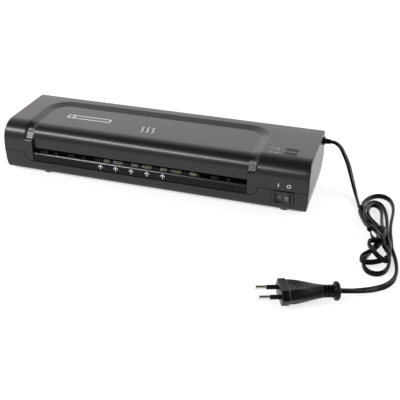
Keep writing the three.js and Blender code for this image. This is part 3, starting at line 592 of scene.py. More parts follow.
def section(side, kind, value):
    """One ring of the housing's skin. kind is pillar, band, groove or flap; value says how far along."""
    edge = PANEL_L if side < 0 else PANEL_R
    top_d = {"pillar": -1.0, "band": value * PANEL_BAND}.get(kind, value)
    ring = []

    def put(y, z, down=0.0):
        if kind == "pillar":
            x = lerp(edge, side * (end_x(z) - END_ROUND), value)
        elif kind == "band":
            x = edge - side * value * lerp(PANEL_BAND, 2, smooth(down / 0.6))
        else:
            x = edge - side * value
        ring.append((x, y, z))

    lower = bezier_line(FACE_LOW, (-46.55, 6.5), (-46.2, FOOT_H), (-41.5, FOOT_H), 18)
    under = [(y, FOOT_H) for y in np.linspace(-30, 28, 6)]
    rear = [*through(REAR_LOWER, 1.6), (REAR, 34), (REAR, 41)]
    rear += arc(REAR - REAR_ROUND, TOP - REAR_ROUND, REAR_ROUND, 0, 90, 14)
    for y, z in (*lower, *under, *rear):
        put(y, z)
    outer, inner = panel_edges(top_d)
    across = [lerp(40, outer, 0.5), *(lerp(outer, inner, t) for t in np.linspace(0, 1, 8))]
    across += [lerp(inner, ROUND_Y, t) for t in (0.3, 0.6, 0.85)]
    for y in across:
        put(y, TOP - PANEL_DEPTH * clamp(inside_panel(top_d, y) / PANEL_BAND))
    for t in np.linspace(0, 1, 44):
        if kind == "flap":
            put(*front_curve(t, PANEL_DEPTH + (FLAP_DEPTH - PANEL_DEPTH) * smooth((t - 0.2) / 0.9)), t)
        else:
            share = {"pillar": 0.0, "band": value}.get(kind, 1.0)
            put(*lerp(np.array(front_curve(t)), np.array(groove_curve(t)), share), t)
    for z in (35.4, 33, 30.5, 28.6, 26, 23, 19, 16, 14):
        put(front_y(z) + (FLAP_DEPTH if kind == "flap" and z > 20 else 0), z, 1.0)
    return ring


def end_rings(side):
    """The rounded edge of one end and its face, from the outside in."""
    outline = [(y, z) for _, y, z in section(side, "pillar", 1.0)]
    rings = []
    for a in np.linspace(0, pi / 2, 9):
        shrunk = inset(outline, END_ROUND * (1 - cos(a)))
        rings.append([(side * (end_x(z) - END_ROUND * (1 - sin(a))), y, z) for y, z in shrunk])
    edge = np.array(inset(outline, END_ROUND))
    centre = np.array((0, 29))
    for share in (0.97, 0.9, 0.78, 0.6, 0.4, 0.2):
        rings.append([(side * end_x(z), y, z) for y, z in centre + share * (edge - centre)])
    return rings


def housing_skin():
    rise = 1 - np.cos(np.radians(np.arange(0, 91, 5)))
    outer = PANEL_CORNER * rise
    inner = PANEL_BAND + (PANEL_CORNER - PANEL_BAND) * rise
    in_band = [d / PANEL_BAND for d in outer if d < PANEL_BAND] + [1.0]
    beyond = sorted(d for d in (*outer, *inner) if d > PANEL_BAND + 0.4)
    half = [("pillar", s) for s in (0.9, 0.7, 0.4, 0.15, 0.03)]
    half += [("band", t) for t in in_band]
    half += [("groove", PANEL_BAND + 0.05), ("flap", PANEL_BAND + 0.3)]
    half += [("flap", d) for d in beyond]
    left, right = ([section(side, *station) for station in half] for side in (-1, 1))
    return skinned(end_rings(-1)[::-1] + left + right[::-1] + end_rings(1))


def hollow(x0, x1, front, under):
    """Space inside the shell between two ends, with walls of a thickness at the front and on top."""
    face, top, back = FRONT + front, TOP - under, REAR - WALL
    outline = [(face, FLOOR_IN + 4), (-40, FLOOR_IN), (33, FLOOR_IN), (41, 19.5), (back, SEAM_REAR)]
    outline += [(back, TOP - 9), (back - 1.6, top - 2), (38, top)]
    outline += bezier_line((-24, top), (-36, top), (face + 0.8, TOP - 8 - under / 2), (face, TOP - 20), 12)
    return prism(outline, "X", x0, x1)


def above_seam(lift):
    """All that is over the seam between cover and base, moved up by a lift."""
    slope = (SEAM_REAR - SEAM_FRONT) / (REAR - FRONT)
    front, rear = (SEAM_FRONT + slope * (y - FRONT) + lift for y in (-60, 60))
    return prism([(-60, front), (60, rear), (60, 90), (-60, 90)], "X", -200, 200)


def inner_hollows():
    inner = HALF - WALL - 0.8
    return (
        hollow(-inner, PANEL_L - WALL, WALL, WALL),
        hollow(PANEL_L - WALL - 1, PANEL_R + WALL + 1, FLAP_DEPTH + WALL, WALL + PANEL_DEPTH),
        hollow(PANEL_R + WALL, inner, WALL, WALL),
    )


def mouth(low, high):
    """The opening of the slot, from the front, between two heights."""
    return prism([(SLOT_L, -60), (SLOT_R, -60), (SLOT_R, -38), (SLOT_L, -38)], "Z", low, high)


def exit_opening():
    outline = rounded((SLOT_L + SLOT_R) / 2, POUCH_Z, SLOT_R - SLOT_L, 2 * EXIT_HALF, 1.5)
    return prism(outline, "Y", 38, 60)


def tab(outer, inner):
    """Half of the cover's U-shaped skirt, beside the feed strip, from its outer edge to the slot's end."""
    side = 1 if inner > outer else -1
    start = 90 + 90 * side
    corner = arc(outer + side * TAB_CORNER, TAB_LOW + TAB_CORNER, TAB_CORNER, start, start + 90 * side, 12)
    outline = [(outer, 27.5), *corner, (inner, TAB_LOW), (inner, 27.5)]
    if side < 0:
        outline = outline[::-1]
    return prism(outline, "Y", FRONT + 0.05, FRONT + WALL + 0.4, 0.35)


def feed_notch():
    """The base's opening for the cover's skirt, a seam wider all round."""
    radius = TAB_CORNER + SEAM
    left, right, centre = TAB_L - SEAM, TAB_R + SEAM, TAB_LOW - SEAM + radius
    outline = [(left, 60), *arc(left + radius, centre, radius, 180, 270, 12)]
    outline += [*arc(right - radius, centre, radius, -90, 0, 12), (right, 60)]
    return prism(outline, "Y", -60, -42)


def window_hole(y):
    """A window through the cover, with a small chamfer round it."""
    flare, hole = 0.35, rounded(WINDOW_X, y, WINDOW_W, WINDOW_D, 0.7)
    wide = inset(hole, -flare)
    return stack([(hole, 40), (hole, TOP - flare), (wide, TOP), (wide, 60)], "Z")


def add_cover():
    cover = combined(housing_skin(), "INTERSECT", above_seam(SEAM / 2))
    cut(cover, *inner_hollows())
    cut(cover, mouth(SEAM_FRONT - 5, SLOT_HIGH))
    joined(cover, tab(TAB_L, SLOT_L), tab(TAB_R, SLOT_R))
    cut(cover, exit_opening(), *(window_hole(y) for y in WINDOW_Y))
    cut(cover, prism(circle(CORD_Y, CORD_Z, 4.2), "X", 150, 200))
    piece(cover, "cover", "casing", ["top_cover"], sharp=10.5)


def at_switch(width, height, radius, low, high, bevel=0.0):
    """A rounded block on the switch's axis, between two depths."""
    return prism(rounded(SWITCH_X, SWITCH_Z, width, height, radius), "Y", low, high, bevel)


def add_base():
    base = cut(housing_skin(), above_seam(-SEAM / 2))
    cut(base, *inner_hollows())
    for x, y in SCREWS:
        joined(base, prism(circle(x, y, 5), "Z", FOOT_H + 0.5, 20))
        cut(base, prism(circle(x, y, 3.3), "Z", 0, 17), prism(circle(x, y, 1.8), "Z", 0, 25))
    cut(base, exit_opening(), feed_notch(), mouth(SLOT_LOW - 2.1, 40))
    cut(base, at_switch(SHANK_W + 0.6, SHANK_H + 0.6, 0.5, -60, -38))
    cut(base, at_switch(BEZEL_W + 1.4, BEZEL_H + 1.4, 1.2, -60, FRONT + 1.1))
    vents = [rounded(-86 + 26 * i, y, 3, 14, 1.45) for y in (-17, 5) for i in range(7)]
    cut(base, *(prism(vent, "Z", 0, FLOOR_IN + 2) for vent in vents))
    piece(base, "base", "casing", ["base_housing"], sharp=10.5)


# ---- pouch path ----
def add_feed_strip():
    """Glossy strip under the slot: a sunken face with a rounded lip along its top edge."""
    low, high = SLOT_L + GAP, SLOT_R - GAP
    face = [(-44.6, TAB_LOW + 0.4), (-46.25, TAB_LOW), STRIP_FACE_LOW, STRIP_FACE_TOP]
    face += [(-44.2, 23.1), (-43.4, 22), (-43.4, TAB_LOW + 0.4)]
    piece(prism(face[::-1], "X", low, high, 0.12, 2), "strip", "strip_black", ["feed_strip"], sharp=20)
    bead = [(-45, 23.2), (-45.85, 23.2), (-46.2, 23.4), (-46.2, 23.8), (-45.53, 24.71), (-45.2, 24.92)]
    bead += [(-44.6, SLOT_LOW), (-43.4, 24.9), (-43, 24.4), (-43, 23.2)]
    rim = prism(bead[::-1], "X", low, high, 0.12, 2)
    piece(rim, "strip_lip", "strip_black", sharp=25, finish_of="lip_gloss")


def feed_guide(side):
    """Black comb over (1) or under (-1) the pouch: a sloping plate with ribs along its front."""
    near = POUCH_Z + side * 1.3
    far, edge = near + side * 1.2, near + side * 0.9
    if side > 0:
        outline = [(-38, edge), (-27.5, near + 1.2), (-27.5, far + 1.2), (-38, edge + 1.2)]
        ramp = [(-36, near), (-28, near), (-28, near + 3), (-37.6, near + 3)]
        ribs = [(-RIB_HALF, RIB_HALF)]
    else:
        outline = [(-38, edge - 1.2), (-27.5, far - 1.2), (-27.5, near - 1.2), (-38, edge)]
        ramp = [(-41.2, 21.4), (-28, 21.4), (-28, near), (-35.5, near + 0.2), (-38, near)]
        ramp.append((-39.3, near - 0.6))
        ribs = [(-RIB_HALF, RIB_HALF), NARROW_RIB]
    parts = [prism(outline, "X", SLOT_L + 2, SLOT_R - 2, 0.2, 2)]
    for x in np.arange(RIB_FIRST, SLOT_R - 5, RIB_PITCH):
        parts += [prism(ramp, "X", x + low, x + high, 0.25, 2) for low, high in ribs]
    return gathered(*parts)


def add_guides():
    for side, name in ((1, "upper"), (-1, "lower")):
        piece(feed_guide(side), f"{name}_comb", "guide_black", [f"{name}_feed_guide"])
    # The lower heater plate's folded edge stands between the comb's ribs; its aluminium keeps an olive tint
    # but is darkened with painted shade, as it lies inside the slot.
    fold = [(-40.2, 21.8), (-39.8, 21.8), (-37.95, 25.15), (-33.6, 25.35), (-33.6, 25.6), (-38.3, 25.4)]
    piece(prism(fold, "X", -53, 52), "heater_edge", "aluminium", finish_of="olive_and_shaded_metal")


# ---- switch and indicators ----
def add_switch():
    frame_front = FRONT - BEZEL_OUT
    switch = joined(
        at_switch(BEZEL_W, BEZEL_H, 0.9, frame_front, FRONT + 1, 0.4),
        at_switch(SHANK_W, SHANK_H, 0.5, FRONT - GAP, -31.5, 0.2),
    )
    cut(
        switch,
        at_switch(ROCKER_W + 2.2, ROCKER_H + 2, 0.5, -60, frame_front + 0.35),
        at_switch(ROCKER_W + 0.7, ROCKER_H + 0.6, 0.4, -60, -38),
    )
    blades = [prism(rounded(SWITCH_X + d, SWITCH_Z, 0.8, 4.8, 0.2), "Y", -31.8, -25, 0.15) for d in (-5, 5)]
    piece(gathered(switch, *blades), "switch_frame", "casing", ["switch_body"])


def add_rocker():
    """Two-way rocker, drawn about its pivot and turned to its resting tilt, with its two marks raised."""
    r = ROCKER_W / 2 - 0.25
    low, high = -1.3, -0.3  # the face from the pivot, at its ends and at its control points
    outline = bezier_line((r, 1.6), (r / 3, 3.6), (-r / 3, 3.6), (-r, 1.6), 13)
    outline += bezier_line((-r, low), (-r / 3, high), (r / 3, high), (r, low), 17)
    rocker = prism(outline[::-1], "Z", -ROCKER_H / 2, ROCKER_H / 2, 0.35, 4)
    tilt = moved((SWITCH_X, FRONT + 1.4, SWITCH_Z), -ROCKER_TILT)
    rocker.data.transform(tilt)
    piece(rocker, "rocker", "rocker_black", ["switch_rocker"], "rocker", sharp=28)

    def on_face(a, b, h):
        y = bezier(low, high, high, low, clamp((a + r) / (2 * r)))
        return tilt @ (Vector((a, y - h, b)) * MM) / MM
    bar = drawn([(-4.6, 0), (-2.2, 0)], 0.45, on_face, thick=0.1)
    ring = drawn(oval(4, 0, 1.25, 1.7), 0.36, on_face, True, 0.1)
    piece(gathered(bar, ring), "rocker_marks", "rocker_black", (), "rocker", finish_of="grey_print")


def add_lenses():
    for name, y in zip(("ready", "power"), WINDOW_Y):
        w, d = WINDOW_W - GAP, WINDOW_D - GAP
        lens = prism(rounded(WINDOW_X, y, w, d, 0.55), "Z", 50.4, TOP - 0.5, 0.3)
        joined(lens, prism(rounded(WINDOW_X, y, w + 2, d + 1.6, 0.4), "Z", 49.4, 50.5))
        cut(lens, prism(rounded(WINDOW_X, y, w - 2, d - 2, 0.3), "Z", 49, TOP - 1.7))
        piece(lens, f"{name}_window", "smoked_lens", [f"{name}_lens"])


# ---- prints ----
def drawn(points, width, place, closed=False, thick=0.07):
    """A line as a thin raised print; place sends (a, b, height) to a point on the surface."""
    p = np.array(points, float)
    ahead = unit(np.roll(p, -1, 0) - np.roll(p, 1, 0) if closed else np.gradient(p, axis=0))
    side = ahead[:, ::-1] * (-1, 1) * width / 2
    rings = []
    for (la, lb), (ra, rb) in zip(p + side, p - side):
        corners = ((la, lb, -0.05), (ra, rb, -0.05), (ra, rb, thick), (la, lb, thick))
        rings.append([place(*corner) for corner in corners])
    return hoop(rings) if closed else skinned(rings)


def oval(cx, cy, rx, ry):
    return [(cx + rx * x, cy + ry * y) for x, y in circle(0, 0, 1, 28)]


def add_prints():
    def on_panel(a, b, h):
        return a, b, TOP - PANEL_DEPTH + h

    def on_top(a, b, h):
        return a, b, TOP + h

    def on_front(a, b, h):
        return a, front_y(b) - h, b

    def on_strip(a, b, h):
        back = (b - STRIP_FACE_LOW[1]) / STRIP_RISE
        return a, lerp(STRIP_FACE_LOW[0], STRIP_FACE_TOP[0], back) - h, b

    # Plain outline of a sheet in a pouch, on the panel.
    pouch = drawn(rounded(-85, -1.6, 50, 6.6, 1.6), 1.15, on_panel, True)
    sheet = drawn([(-103, -4.6), (-103, 1.4)], 1.1, on_panel)
    piece(gathered(pouch, sheet), "pouch_mark", "casing", finish_of="print")

    # Three wavy lines for heat, on the panel.
    waves = []
    for x in (-19, -13, -7):
        line = [(x + 1.3 * sin(t * 2 * pi), -16.5 + 14 * t) for t in np.linspace(0, 1, 25)]
        waves.append(drawn(line, 0.8, on_panel))
    piece(gathered(*waves), "heat_mark", "casing", finish_of="print")

    # Small arrows towards the slot, on the strip.
    arrows = []
    for k in range(5):
        x = -54 + 17.5 * k
        arrows.append(drawn([(x - 2.5, 19.6), (x, 22.1), (x + 2.5, 19.6)], 0.75, on_strip))
        arrows.append(drawn([(x, 17.2), (x, 21.2)], 0.75, on_strip))
    piece(gathered(*arrows), "feed_marks", "strip_black", finish_of="print")

    # Dot and power ring beside the indicator windows, each with a short bar.
    (ready_y, power_y), x = WINDOW_Y, 129
    marks = [drawn([(121, y), (126, y)], 0.5, on_top) for y in WINDOW_Y]
    marks.append(drawn(oval(x, ready_y, 0.5, 0.5), 0.9, on_top, True))
    marks.append(drawn(arc(x, power_y, 1.3, 125, 415, 22), 0.4, on_top))
    marks.append(drawn([(x, power_y), (x, power_y + 1.9)], 0.4, on_top))
    piece(gathered(*marks), "window_marks", "casing", finish_of="grey_print")

    # Bar and ring over the switch.
    bar = drawn([(137.2, 29.1), (137.2, 32.5)], 0.65, on_front)
    ring = drawn(oval(147.6, 30.8, 1.75, 1.6), 0.6, on_front, True)
    piece(gathered(bar, ring), "switch_marks", "casing", finish_of="print")


def add_feet():
    profile = [(0, 4.4), (0, 4.9), (0.25, 5.4), (0.9, 5.9), (1.8, 6), (2.2, 5.75), (2.5, 5.75), (FOOT_H, 6)]
    for name, (x, y) in FEET.items():
        foot = lathe(profile, 40, lambda h, a, b, x=x, y=y: (x + a, y + b, h))
        piece(foot, f"rubber_foot_{name}", "foot_rubber", [f"foot_{name}"], sharp=40)


# ---- mains lead ----
# Points of the lead, in its order; one without a height lies on the floor, LAID above it.
LAID = 2.7
LEAD_ROUTE = [
    (170.5, 33, 46.5), (174.8, 33, 46.5), (179.4, 32.8, 46.2), (185.2, 32.2, 42.4), (190.6, 30.4, 34.8),
    (195.6, 27.4, 26.4), (200.4, 22, 16.6), (204.8, 14.6, 8.6), (208.9, 5, 3.6), (212.6, -8),
    (214.6, -15.6),
]
TAIL_ROUTE = [
    (252.9, -87), (255.4, -96), (257.5, -107), (258.3, -119), (256.6, -130.4), (251, -140.6, 2.9),
    (242.2, -149.4, 3.9), (231.6, -157.6, 5.9), (222.8, -163.1, 7.6), (216.4, -165.7, 8.2),
    (213.2, -166.9, 8.3),
]
# The folded middle: three loops to each side of the tie, in the order that the lead takes them.
FOLD_ROUTE = [
    # down the left side and through the tie
    (217.7, -21.6), (221.3, -31.1), (224.7, -39.7), (229.1, -45.5), (234.6, -49.6), (239.5, -55),
    (242.8, -63.6), (245.5, -72.8), (248.1, -81.8),
    # first lower loop, the widest
    (250.1, -93), (251.3, -104.2), (250.7, -114.5), (247.8, -122.2), (242.8, -126.2), (237.3, -126.4),
    (232.3, -122.4), (229.4, -114.6), (230, -104.1), (233.4, -94.4, 3.2), (236.5, -86.6, 5),
    (238.3, -78.4, 7.2), (238.1, -69.6, 7.9),
    # first upper loop
    (234.9, -60.5, 8), (229.9, -53.6, 8), (225, -45.8, 7.8), (221.7, -35.5, 7.4), (220.9, -22, 6),
    (223.2, -9.4, 4), (227.6, -2.8, 2.9), (233, -3.1), (237.9, -10.2), (241.2, -21.3), (243.2, -33.1),
    (244.5, -46.2), (246, -60.1), (247.7, -72.1, 3.5),
    # second lower loop, bent to the left
    (249.4, -86.4, 6), (250.2, -99.2, 7.6), (247.8, -108.3, 7.8), (243.3, -112.2, 7.8),
    (238.1, -115.6, 7.6), (232.8, -118, 7.2), (228.2, -117.1, 6.6), (226, -112.6, 6.4),
    (227.1, -107.4, 6.6), (230.4, -103.2, 7), (234.6, -99.3, 7.6), (238.5, -91.4, 7.8), (241.4, -80.8, 7.8),
    (241.7, -69.7, 7.9),
    # second upper loop, inside the others
    (238.9, -60.5, 8), (234, -54.3, 8), (229.1, -48.9, 8), (225.3, -40.6, 7.8), (223.8, -29.2, 7.4),
    (225.1, -17.2, 6), (228.8, -9.8, 4.6), (233.2, -10.3, 3.6), (236.4, -17.3, 3.2), (237.8, -27.4, 3.2),
    (238.7, -39.5, 4), (240.1, -53, 6.4), (242.2, -65.6, 9.4), (243.2, -77.6, 12),
    # third lower loop, small and twisted
    (241.6, -86.4, 12.8), (237.6, -88.6, 12.9), (233.4, -87.3, 12.8), (230.7, -89.2, 12.7),
    (230.5, -94.6, 12.7), (233.5, -100.8, 12.7), (237.5, -107.4, 12.8), (241.8, -113.4, 12.6),
    (246.3, -117, 11.4), (249.9, -117.3, 11), (251.4, -112.2, 11.6), (249.9, -105.1, 12.6),
    (246.4, -99, 12.8), (243.1, -92.5, 12.9), (240.6, -84.4, 13),
    # third upper loop, the largest, over the top and down the right side
    (237.7, -75.8, 12.9), (233.4, -65.5, 10.6), (227.9, -55.2, 7.4), (222.6, -43.3, 4.2),
    (218.7, -31.4, 2.8), (216.7, -19.8), (217.8, -7.7), (221.7, 2.9), (226.8, 9.4), (232.6, 12.8),
    (238.5, 11.6), (243.6, 5.7), (247, -5.1), (248.1, -16.3), (247.9, -28.9), (247.7, -41.2),
    (248.1, -52.9), (248.7, -64.3), (250, -75.1),
]


def laid(route):
    return [(*point, LAID)[:3] for point in route]


def bend(line):
    """How far each point lies from the middle of its neighbours, doubled; nothing at the ends."""
    out = np.zeros_like(line)
    out[1:-1] = line[:-2] + line[2:] - 2 * line[1:-1]
    return out


def settle(line, first, last):
    """Relaxes the folded stretch: strands push each other apart, kinks ease, nothing sinks in the floor."""
    apart, reach = 3.4, 7  # strands push within this distance, but not the points along one strand
    start, line = line, line.copy()
    lowest = np.minimum(start[:, 2], 2.65)
    index = np.arange(len(line))
    loose = np.clip(np.minimum(index - first, last - index) / 8, 0, 1)[:, None]
    for _ in range(160):
        gap = line[:, None, :] - line[None, :, :]
        gap[..., 2] *= 0.7  # strands part sideways more than upwards
        dist = norm(gap, axis=2)
        near = (dist < apart) & (np.abs(index[:, None] - index[None, :]) > reach)
        push = np.where(near, (apart - dist) / np.maximum(dist, 0.3), 0)
        shift = np.clip(0.25 * (push[..., None] * gap).sum(axis=1), -0.5, 0.5)
        curve = bend(line)
        line += loose * (shift - 0.1 * bend(curve) + 0.04 * curve + 0.02 * (start - line))
        line[:, 2] = np.maximum(line[:, 2], lowest)
    return line


def cord_line():
    lead, fold, tail = laid(LEAD_ROUTE), laid(FOLD_ROUTE), laid(TAIL_ROUTE)
    whole = through(lead + fold + tail, CORD_STEP)
    first, last = (int(np.argmin(norm(whole - at, axis=1))) for at in (lead[-1], tail[0]))
    return respaced(settle(whole, first, last), CORD_STEP)


def cord_section():
    """Outline of a flat twin lead: two round cores side by side, with a shallow groove between them."""
    ring = []
    for u, v in circle(0, 0, 1, 20):
        waist = 1 - 0.13 * exp(-(u / 0.28) ** 2)
        width, height = (copysign(abs(part) ** 0.8, part) for part in (u, v))
        ring.append((CORD_W / 2 * width, CORD_T / 2 * height * waist))
    return ring


def swept(line, outline, turn):
    """An outline carried along a line; turn says how far it is rolled from lying flat at each point."""
    rings = []
    for p, t, w in zip(line, unit(np.gradient(line, axis=0)), turn):
        flat = np.cross(t, (0, 0, 1))
        flat = unit(flat) if norm(flat) > 1e-3 else np.array((0, 1, 0))
        up = np.cross(flat, t)
        wide = cos(w) * flat + sin(w) * up
        thin = np.cross(t, wide)
        rings.append([p + a * wide + b * thin for a, b in outline])
    return skinned(rings)


def add_relief():
    """Strain relief: a flange against the wall, then a tapering nose with cross ribs."""
    profile = [(-15, 4.9), (-14.7, 5.2), (-3.9, 5.2), (-3.8, 3.9), (0.2, 3.9)]
    profile += [(0.25, 4.4), (0.5, 4.55), (1.1, 4.5), (1.4, 4.2), (1.6, 3.7)]
    for k in range(3):
        at, big = 1.9 + 1.55 * k, 3.0 - 0.1 * k
        profile += [(at, big), (at + 0.85, big - 0.1), (at + 1.0, big - 0.4), (at + 1.4, big - 0.45)]
    profile += [(6.6, 2.75), (RELIEF_OUT - 0.2, 2.7), (RELIEF_OUT, 2.65)]
    relief = lathe(profile, 40, lambda h, a, b: (HALF + h, CORD_Y + a, CORD_Z + b))
    return piece(relief, "strain_relief", "cord_pvc", ["cord_relief"], sharp=35)


def add_tie(line):
    """Twist tie: two turns of coated wire tape round the strands, with its twisted ends on the left."""
    y_mid, margin, floor = -66.5, 2.2, 0.45
    near = line[(np.abs(line[:, 1] - y_mid) < 3) & (line[:, 0] > 232.5) & (line[:, 0] < 245.5)]
    low, high = near.min(0) - margin, near.max(0) + margin
    (cx, _, cz), (rx, _, rz) = (low + high) / 2, (high - low) / 2
    cz = max(cz, floor + rz)
    tape = ((-1.4, 0), (-1.4, 0.35), (-0.55, 0.5), (0, 0.85), (0.55, 0.5), (1.4, 0.35), (1.4, 0))
    parts = []
    for k, dy in enumerate((-1.7, 1.6)):
        rings = []
        for a in np.linspace(0, 2 * pi, 56, endpoint=False) + 0.4 * k:
            lift = 0.15 * sin(3 * a + k)
            c, s, y = cos(a), sin(a), y_mid + dy + 0.8 * sin(a + k)
            rings.append([
                (cx + (rx + h + lift) * c, y + b, max(0.05, cz + (rz + h + lift) * s)) for b, h in tape
            ])
        parts.append(hoop(rings))
    # The two ends, twisted round each other, then bent back into a small eye.
    root = np.array((cx - rx - 0.2, y_mid, cz + 1))
    away = np.array((-0.93, -0.25, 0.25))
    bends = (  # how far out from the root, and the step aside from there
        (0, (0, 0, 0)), (1.6, (0, 0, 0)), (3.4, (0.3, 1.2, 0)), (4.6, (1, 2.8, 0.6)),
        (3.4, (1.8, 4.2, 0.3)), (1.8, (0.8, 3.6, -0.2)), (1.6, (-0.6, 2, 0)),
    )
    along = through([root + far * away + aside for far, aside in bends], 0.45)
    ahead = unit(np.gradient(along, axis=0))
    out = unit(np.cross(ahead, (0, 0, 1.0)))
    up = np.cross(out, ahead)
    for phase in (0, pi):
        a = np.arange(len(along))[:, None] * 0.75 + phase
        helix = along + 0.62 * (np.cos(a) * out + np.sin(a) * up)
        parts.append(swept(helix, circle(0, 0, 0.62, 8), np.zeros(len(helix))))
    return piece(gathered(*parts), "twist_tie", "guide_black", ["cord_tie"], sharp=40)


# ---- plug ----
def hexagon(x, width, thick, blend):
    """A ring of the plug, from a flat hexagon (blend 0) to a circle (blend 1)."""
    flat = 0.68  # the broad faces' share of the width
    corner = atan2(1, flat)
    half = [0, corner, pi - corner]
    angles = half + [pi + a for a in half] + [2 * pi]
    ring = []
    for a0, a1 in zip(angles, angles[1:]):
        for a in np.linspace(a0, a1, 8, endpoint=False):
            c, s = cos(a), sin(a)
            reach = lerp(1 / max(abs(s), abs(c) + (1 - flat) * abs(s)), 1, blend)
            ring.append((x, c * reach * width / 2, s * reach * thick / 2))
    return ring


PLUG_STATIONS = (  # distance from the face, width, thickness, roundness
    (0, 34, 12.5, 0.06), (0.25, 34.8, 13.3, 0.05), (0.8, 35.3, 13.7, 0.04), (3, 35.3, 13.7, 0.03),
    (5.7, 35.3, 13.7, 0.04), (6.3, 34.9, 13.6, 0.05), (6.6, 34, 13.5, 0.05), (6.75, 32.4, 13.2, 0.05),
    (7.2, 31.4, 12.9, 0.06), (9, 30.7, 13.1, 0.07), (11.5, 29.6, 13.4, 0.12), (14, 28.4, 13.4, 0.2),
    (18, 25.6, 13.3, 0.34), (22, 22.4, 13, 0.5), (26, 18.9, 12.5, 0.66), (30, 15.6, 12, 0.8),
    (33.5, 13, 11.5, 0.92), (36.6, 11.2, 11.1, 1),
)
NECK_STATIONS = (  # distance from the face, diameter
    (38.6, 10.9), (42, 10.9), (45.2, 11), (45.5, 11.4), (45.8, 14.6), (46.3, 15.8), (47, 16.3), (48, 16.4),
    (48.8, 16.1), (49.5, 15.1), (50, 13.6), (50.3, 11.8), (50.7, 8.4), (51, 7.4),
)


def neck_notch(x, start, end):
    """Part of a groove round the neck, between two angles."""
    outline = arc(0, 0, 3.7, start, end, 10) + arc(0, 0, 9, end, start, 10)
    return prism(outline[::-1], "X", x, x + 1.9)


def add_plug():
    place = moved(PLUG_FACE, PLUG_YAW, PLUG_PITCH, PLUG_ROLL)
    rings = [hexagon(*station) for station in PLUG_STATIONS]
    rings += [hexagon(x, across, across, 1) for x, across in NECK_STATIONS]
    body = skinned(rings)
    for s in (-1, 1):
        cut(body, prism(circle(s * PIN_PITCH / 2, 0, PIN_RADIUS + GAP), "X", -5, 6))
    # Slanted finger grips on both broad faces, and broken grooves round the neck.
    for z in (-1, 1):
        for k in range(4):
            x, half = 12.5 + 4.6 * k, 6.6 - 1.1 * k
            grip = prism(rounded(0, 0, 1.9, 2 * half, 0.9), "Z", -0.75, 0.75, 0.3)
            grip.data.transform(moved((x, 0, z * 6.75), GRIP_SLANT * z))
            cut(body, grip)
    for x in (36.4, 39.5, 42.6):
        for start in (8, 98, 188, 278):
            cut(body, neck_notch(x, start, start + 74))
    body.data.transform(place)
    pieces = [piece(body, "plug", "plug_pvc", ["plug_body"], sharp=32)]

    pin = [(-19, 0.9), (-18.85, 1.35), (-18.5, 1.7), (-18, 1.93), (-17.4, PIN_RADIUS), (-9.5, PIN_RADIUS)]
    pin += [(-9.4, 1.6), (5, 1.6)]
    for i, s in enumerate((-1, 1)):
        def turned(profile, y=s * PIN_PITCH / 2):
            return lathe(profile, 32, lambda h, a, b: (h, y + a, b))
        metal = turned(pin)
        cover = turned([(-9.1, 1.85), (-8.95, PIN_RADIUS), (5, PIN_RADIUS)])
        cut(cover, turned([(-12, 1.62), (7, 1.62)]))
        metal.data.transform(place)
        cover.data.transform(place)
        pieces.append(piece(metal, f"pin_{i + 1}", "bright_metal", [f"plug_pin_{i + 1}"], sharp=40))
        pieces.append(piece(cover, f"sleeve_{i + 1}", "guide_black", [f"pin_sleeve_{i + 1}"], sharp=40))
    return pieces


def add_cord():
    line = cord_line()
    share = np.arange(len(line)) / len(line)
    # On the floor the lead stands on its narrow side; it lies flat where it leaves at both ends.
    turn = np.clip((share - 0.03) / 0.06, 0, 1) * np.clip((0.985 - share) / 0.05, 0, 1) * pi / 2
    lead = piece(swept(line, cord_section(), turn), "mains_lead", "cord_pvc",
                 ["cord_lead", "cord_bundle", "cord_tail"], sharp=60)
    length = float(norm(np.diff(line, axis=0), axis=1).sum()) * MM
    on_it = [add_relief(), add_tie(line), *add_plug()]


# ---- springs ----
def add_springs():
    """Pressure springs with closed ends, coiled to fill each spring part's box."""
    closed = 0.16  # share of the wire in the flat coils at each end
    for side in ("left", "right"):
        spring = f"{side}_pressure_spring"
        low, high = (np.array(corner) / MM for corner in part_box(spring))
        cx, cy = (low + high)[:2] / 2
        line = []
        for t in np.linspace(0, 1, SPRING_TURNS * 24 + 1):
            a = 2 * pi * SPRING_TURNS * t
            z = lerp(low[2] + 0.4, high[2] - 0.4, clamp((t - closed) / (1 - 2 * closed)))
            line.append((cx + SPRING_RADIUS * cos(a), cy + SPRING_RADIUS * sin(a), z))
        coil = swept(np.array(line), circle(0, 0, SPRING_WIRE), np.zeros(len(line)))
        piece(coil, f"{side}_spring", "zinc_steel", [spring])
        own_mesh(coil)


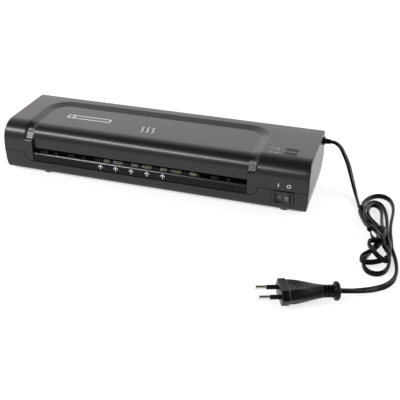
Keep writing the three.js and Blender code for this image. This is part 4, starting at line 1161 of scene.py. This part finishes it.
# ---- floor and sky ----
def floor_glow(mat):
    """The floor's glow, which fades out under the housing: a painted shadow where no light would reach."""
    part = node(mat, "SeparateXYZ", {"Vector": placed(mat)})
    outside = {}
    for k, (axis, half) in enumerate((("X", HALF), ("Y", REAR))):
        size = node(mat, "Math", {0: part.outputs[axis]}, "ABSOLUTE")
        start, end = ((half - inwards) * MM for inwards in GLOW_FADE)
        outside[k] = ranged(mat, size.outputs["Value"], 0, FLOOR_GLOW, start, end)
    return node(mat, "Math", outside, "MAXIMUM").outputs["Value"]


def add_floor():
    """A wide pale floor that glows."""
    far = 9000
    floor = raw([(-far, -far, 0), (far, -far, 0), (far, far, 0), (-far, far, 0)], [(0, 1, 2, 3)], "floor")
    mat = new_material("floor_paint")
    feed(mat, shader_of(mat), {
        "Base Color": tinted(mat, noise(mat, 900, 2), (0.33,) * 3, (0.36,) * 3),
        "Roughness": 0.9,
        "Emission Color": (1, 1, 1, 1),
        "Emission Strength": floor_glow(mat),
    })
    floor.data.materials.append(mat)


def add_sky():
    """A pale sky, darker overhead and on the side of the slot."""
    world = bpy.data.worlds.new("world")
    bpy.context.scene.world = world
    world.use_nodes = True
    part = node(world, "SeparateXYZ", {"Vector": placed(world, "Generated")})
    stops = [(at, [tone * share for share in SKY_TINT]) for at, tone in SKY]
    colour = ramped(world, part.outputs["Z"], stops)
    share = ranged(world, part.outputs["Y"], SKY_FRONT, 1, *SKY_TURN)
    dimmed = node(world, "VectorMath", {0: colour, "Scale": share}, "SCALE").outputs["Vector"]
    feed(world, world.node_tree.nodes["Background"], {"Color": dimmed, "Strength": SKY_POWER})


def dress_cad():
    """Gives every node that still shows its material slot's finish."""
    for part in frame["record"]["subparts"]:
        obj = frame["nodes"][part["node"]]
        obj.data.materials.clear()
        obj.data.materials.append(FINISHES[part["material_slot"]])


add_camera()
dress_cad()
add_cover()
add_base()
add_feed_strip()
add_guides()
add_switch()
add_rocker()
add_lenses()
add_prints()
add_feet()
add_springs()
add_cord()
add_floor()
add_sky()
for light in LIGHTS:
    area_light(*light)
bpy.context.scene.view_settings.view_transform = "Standard"
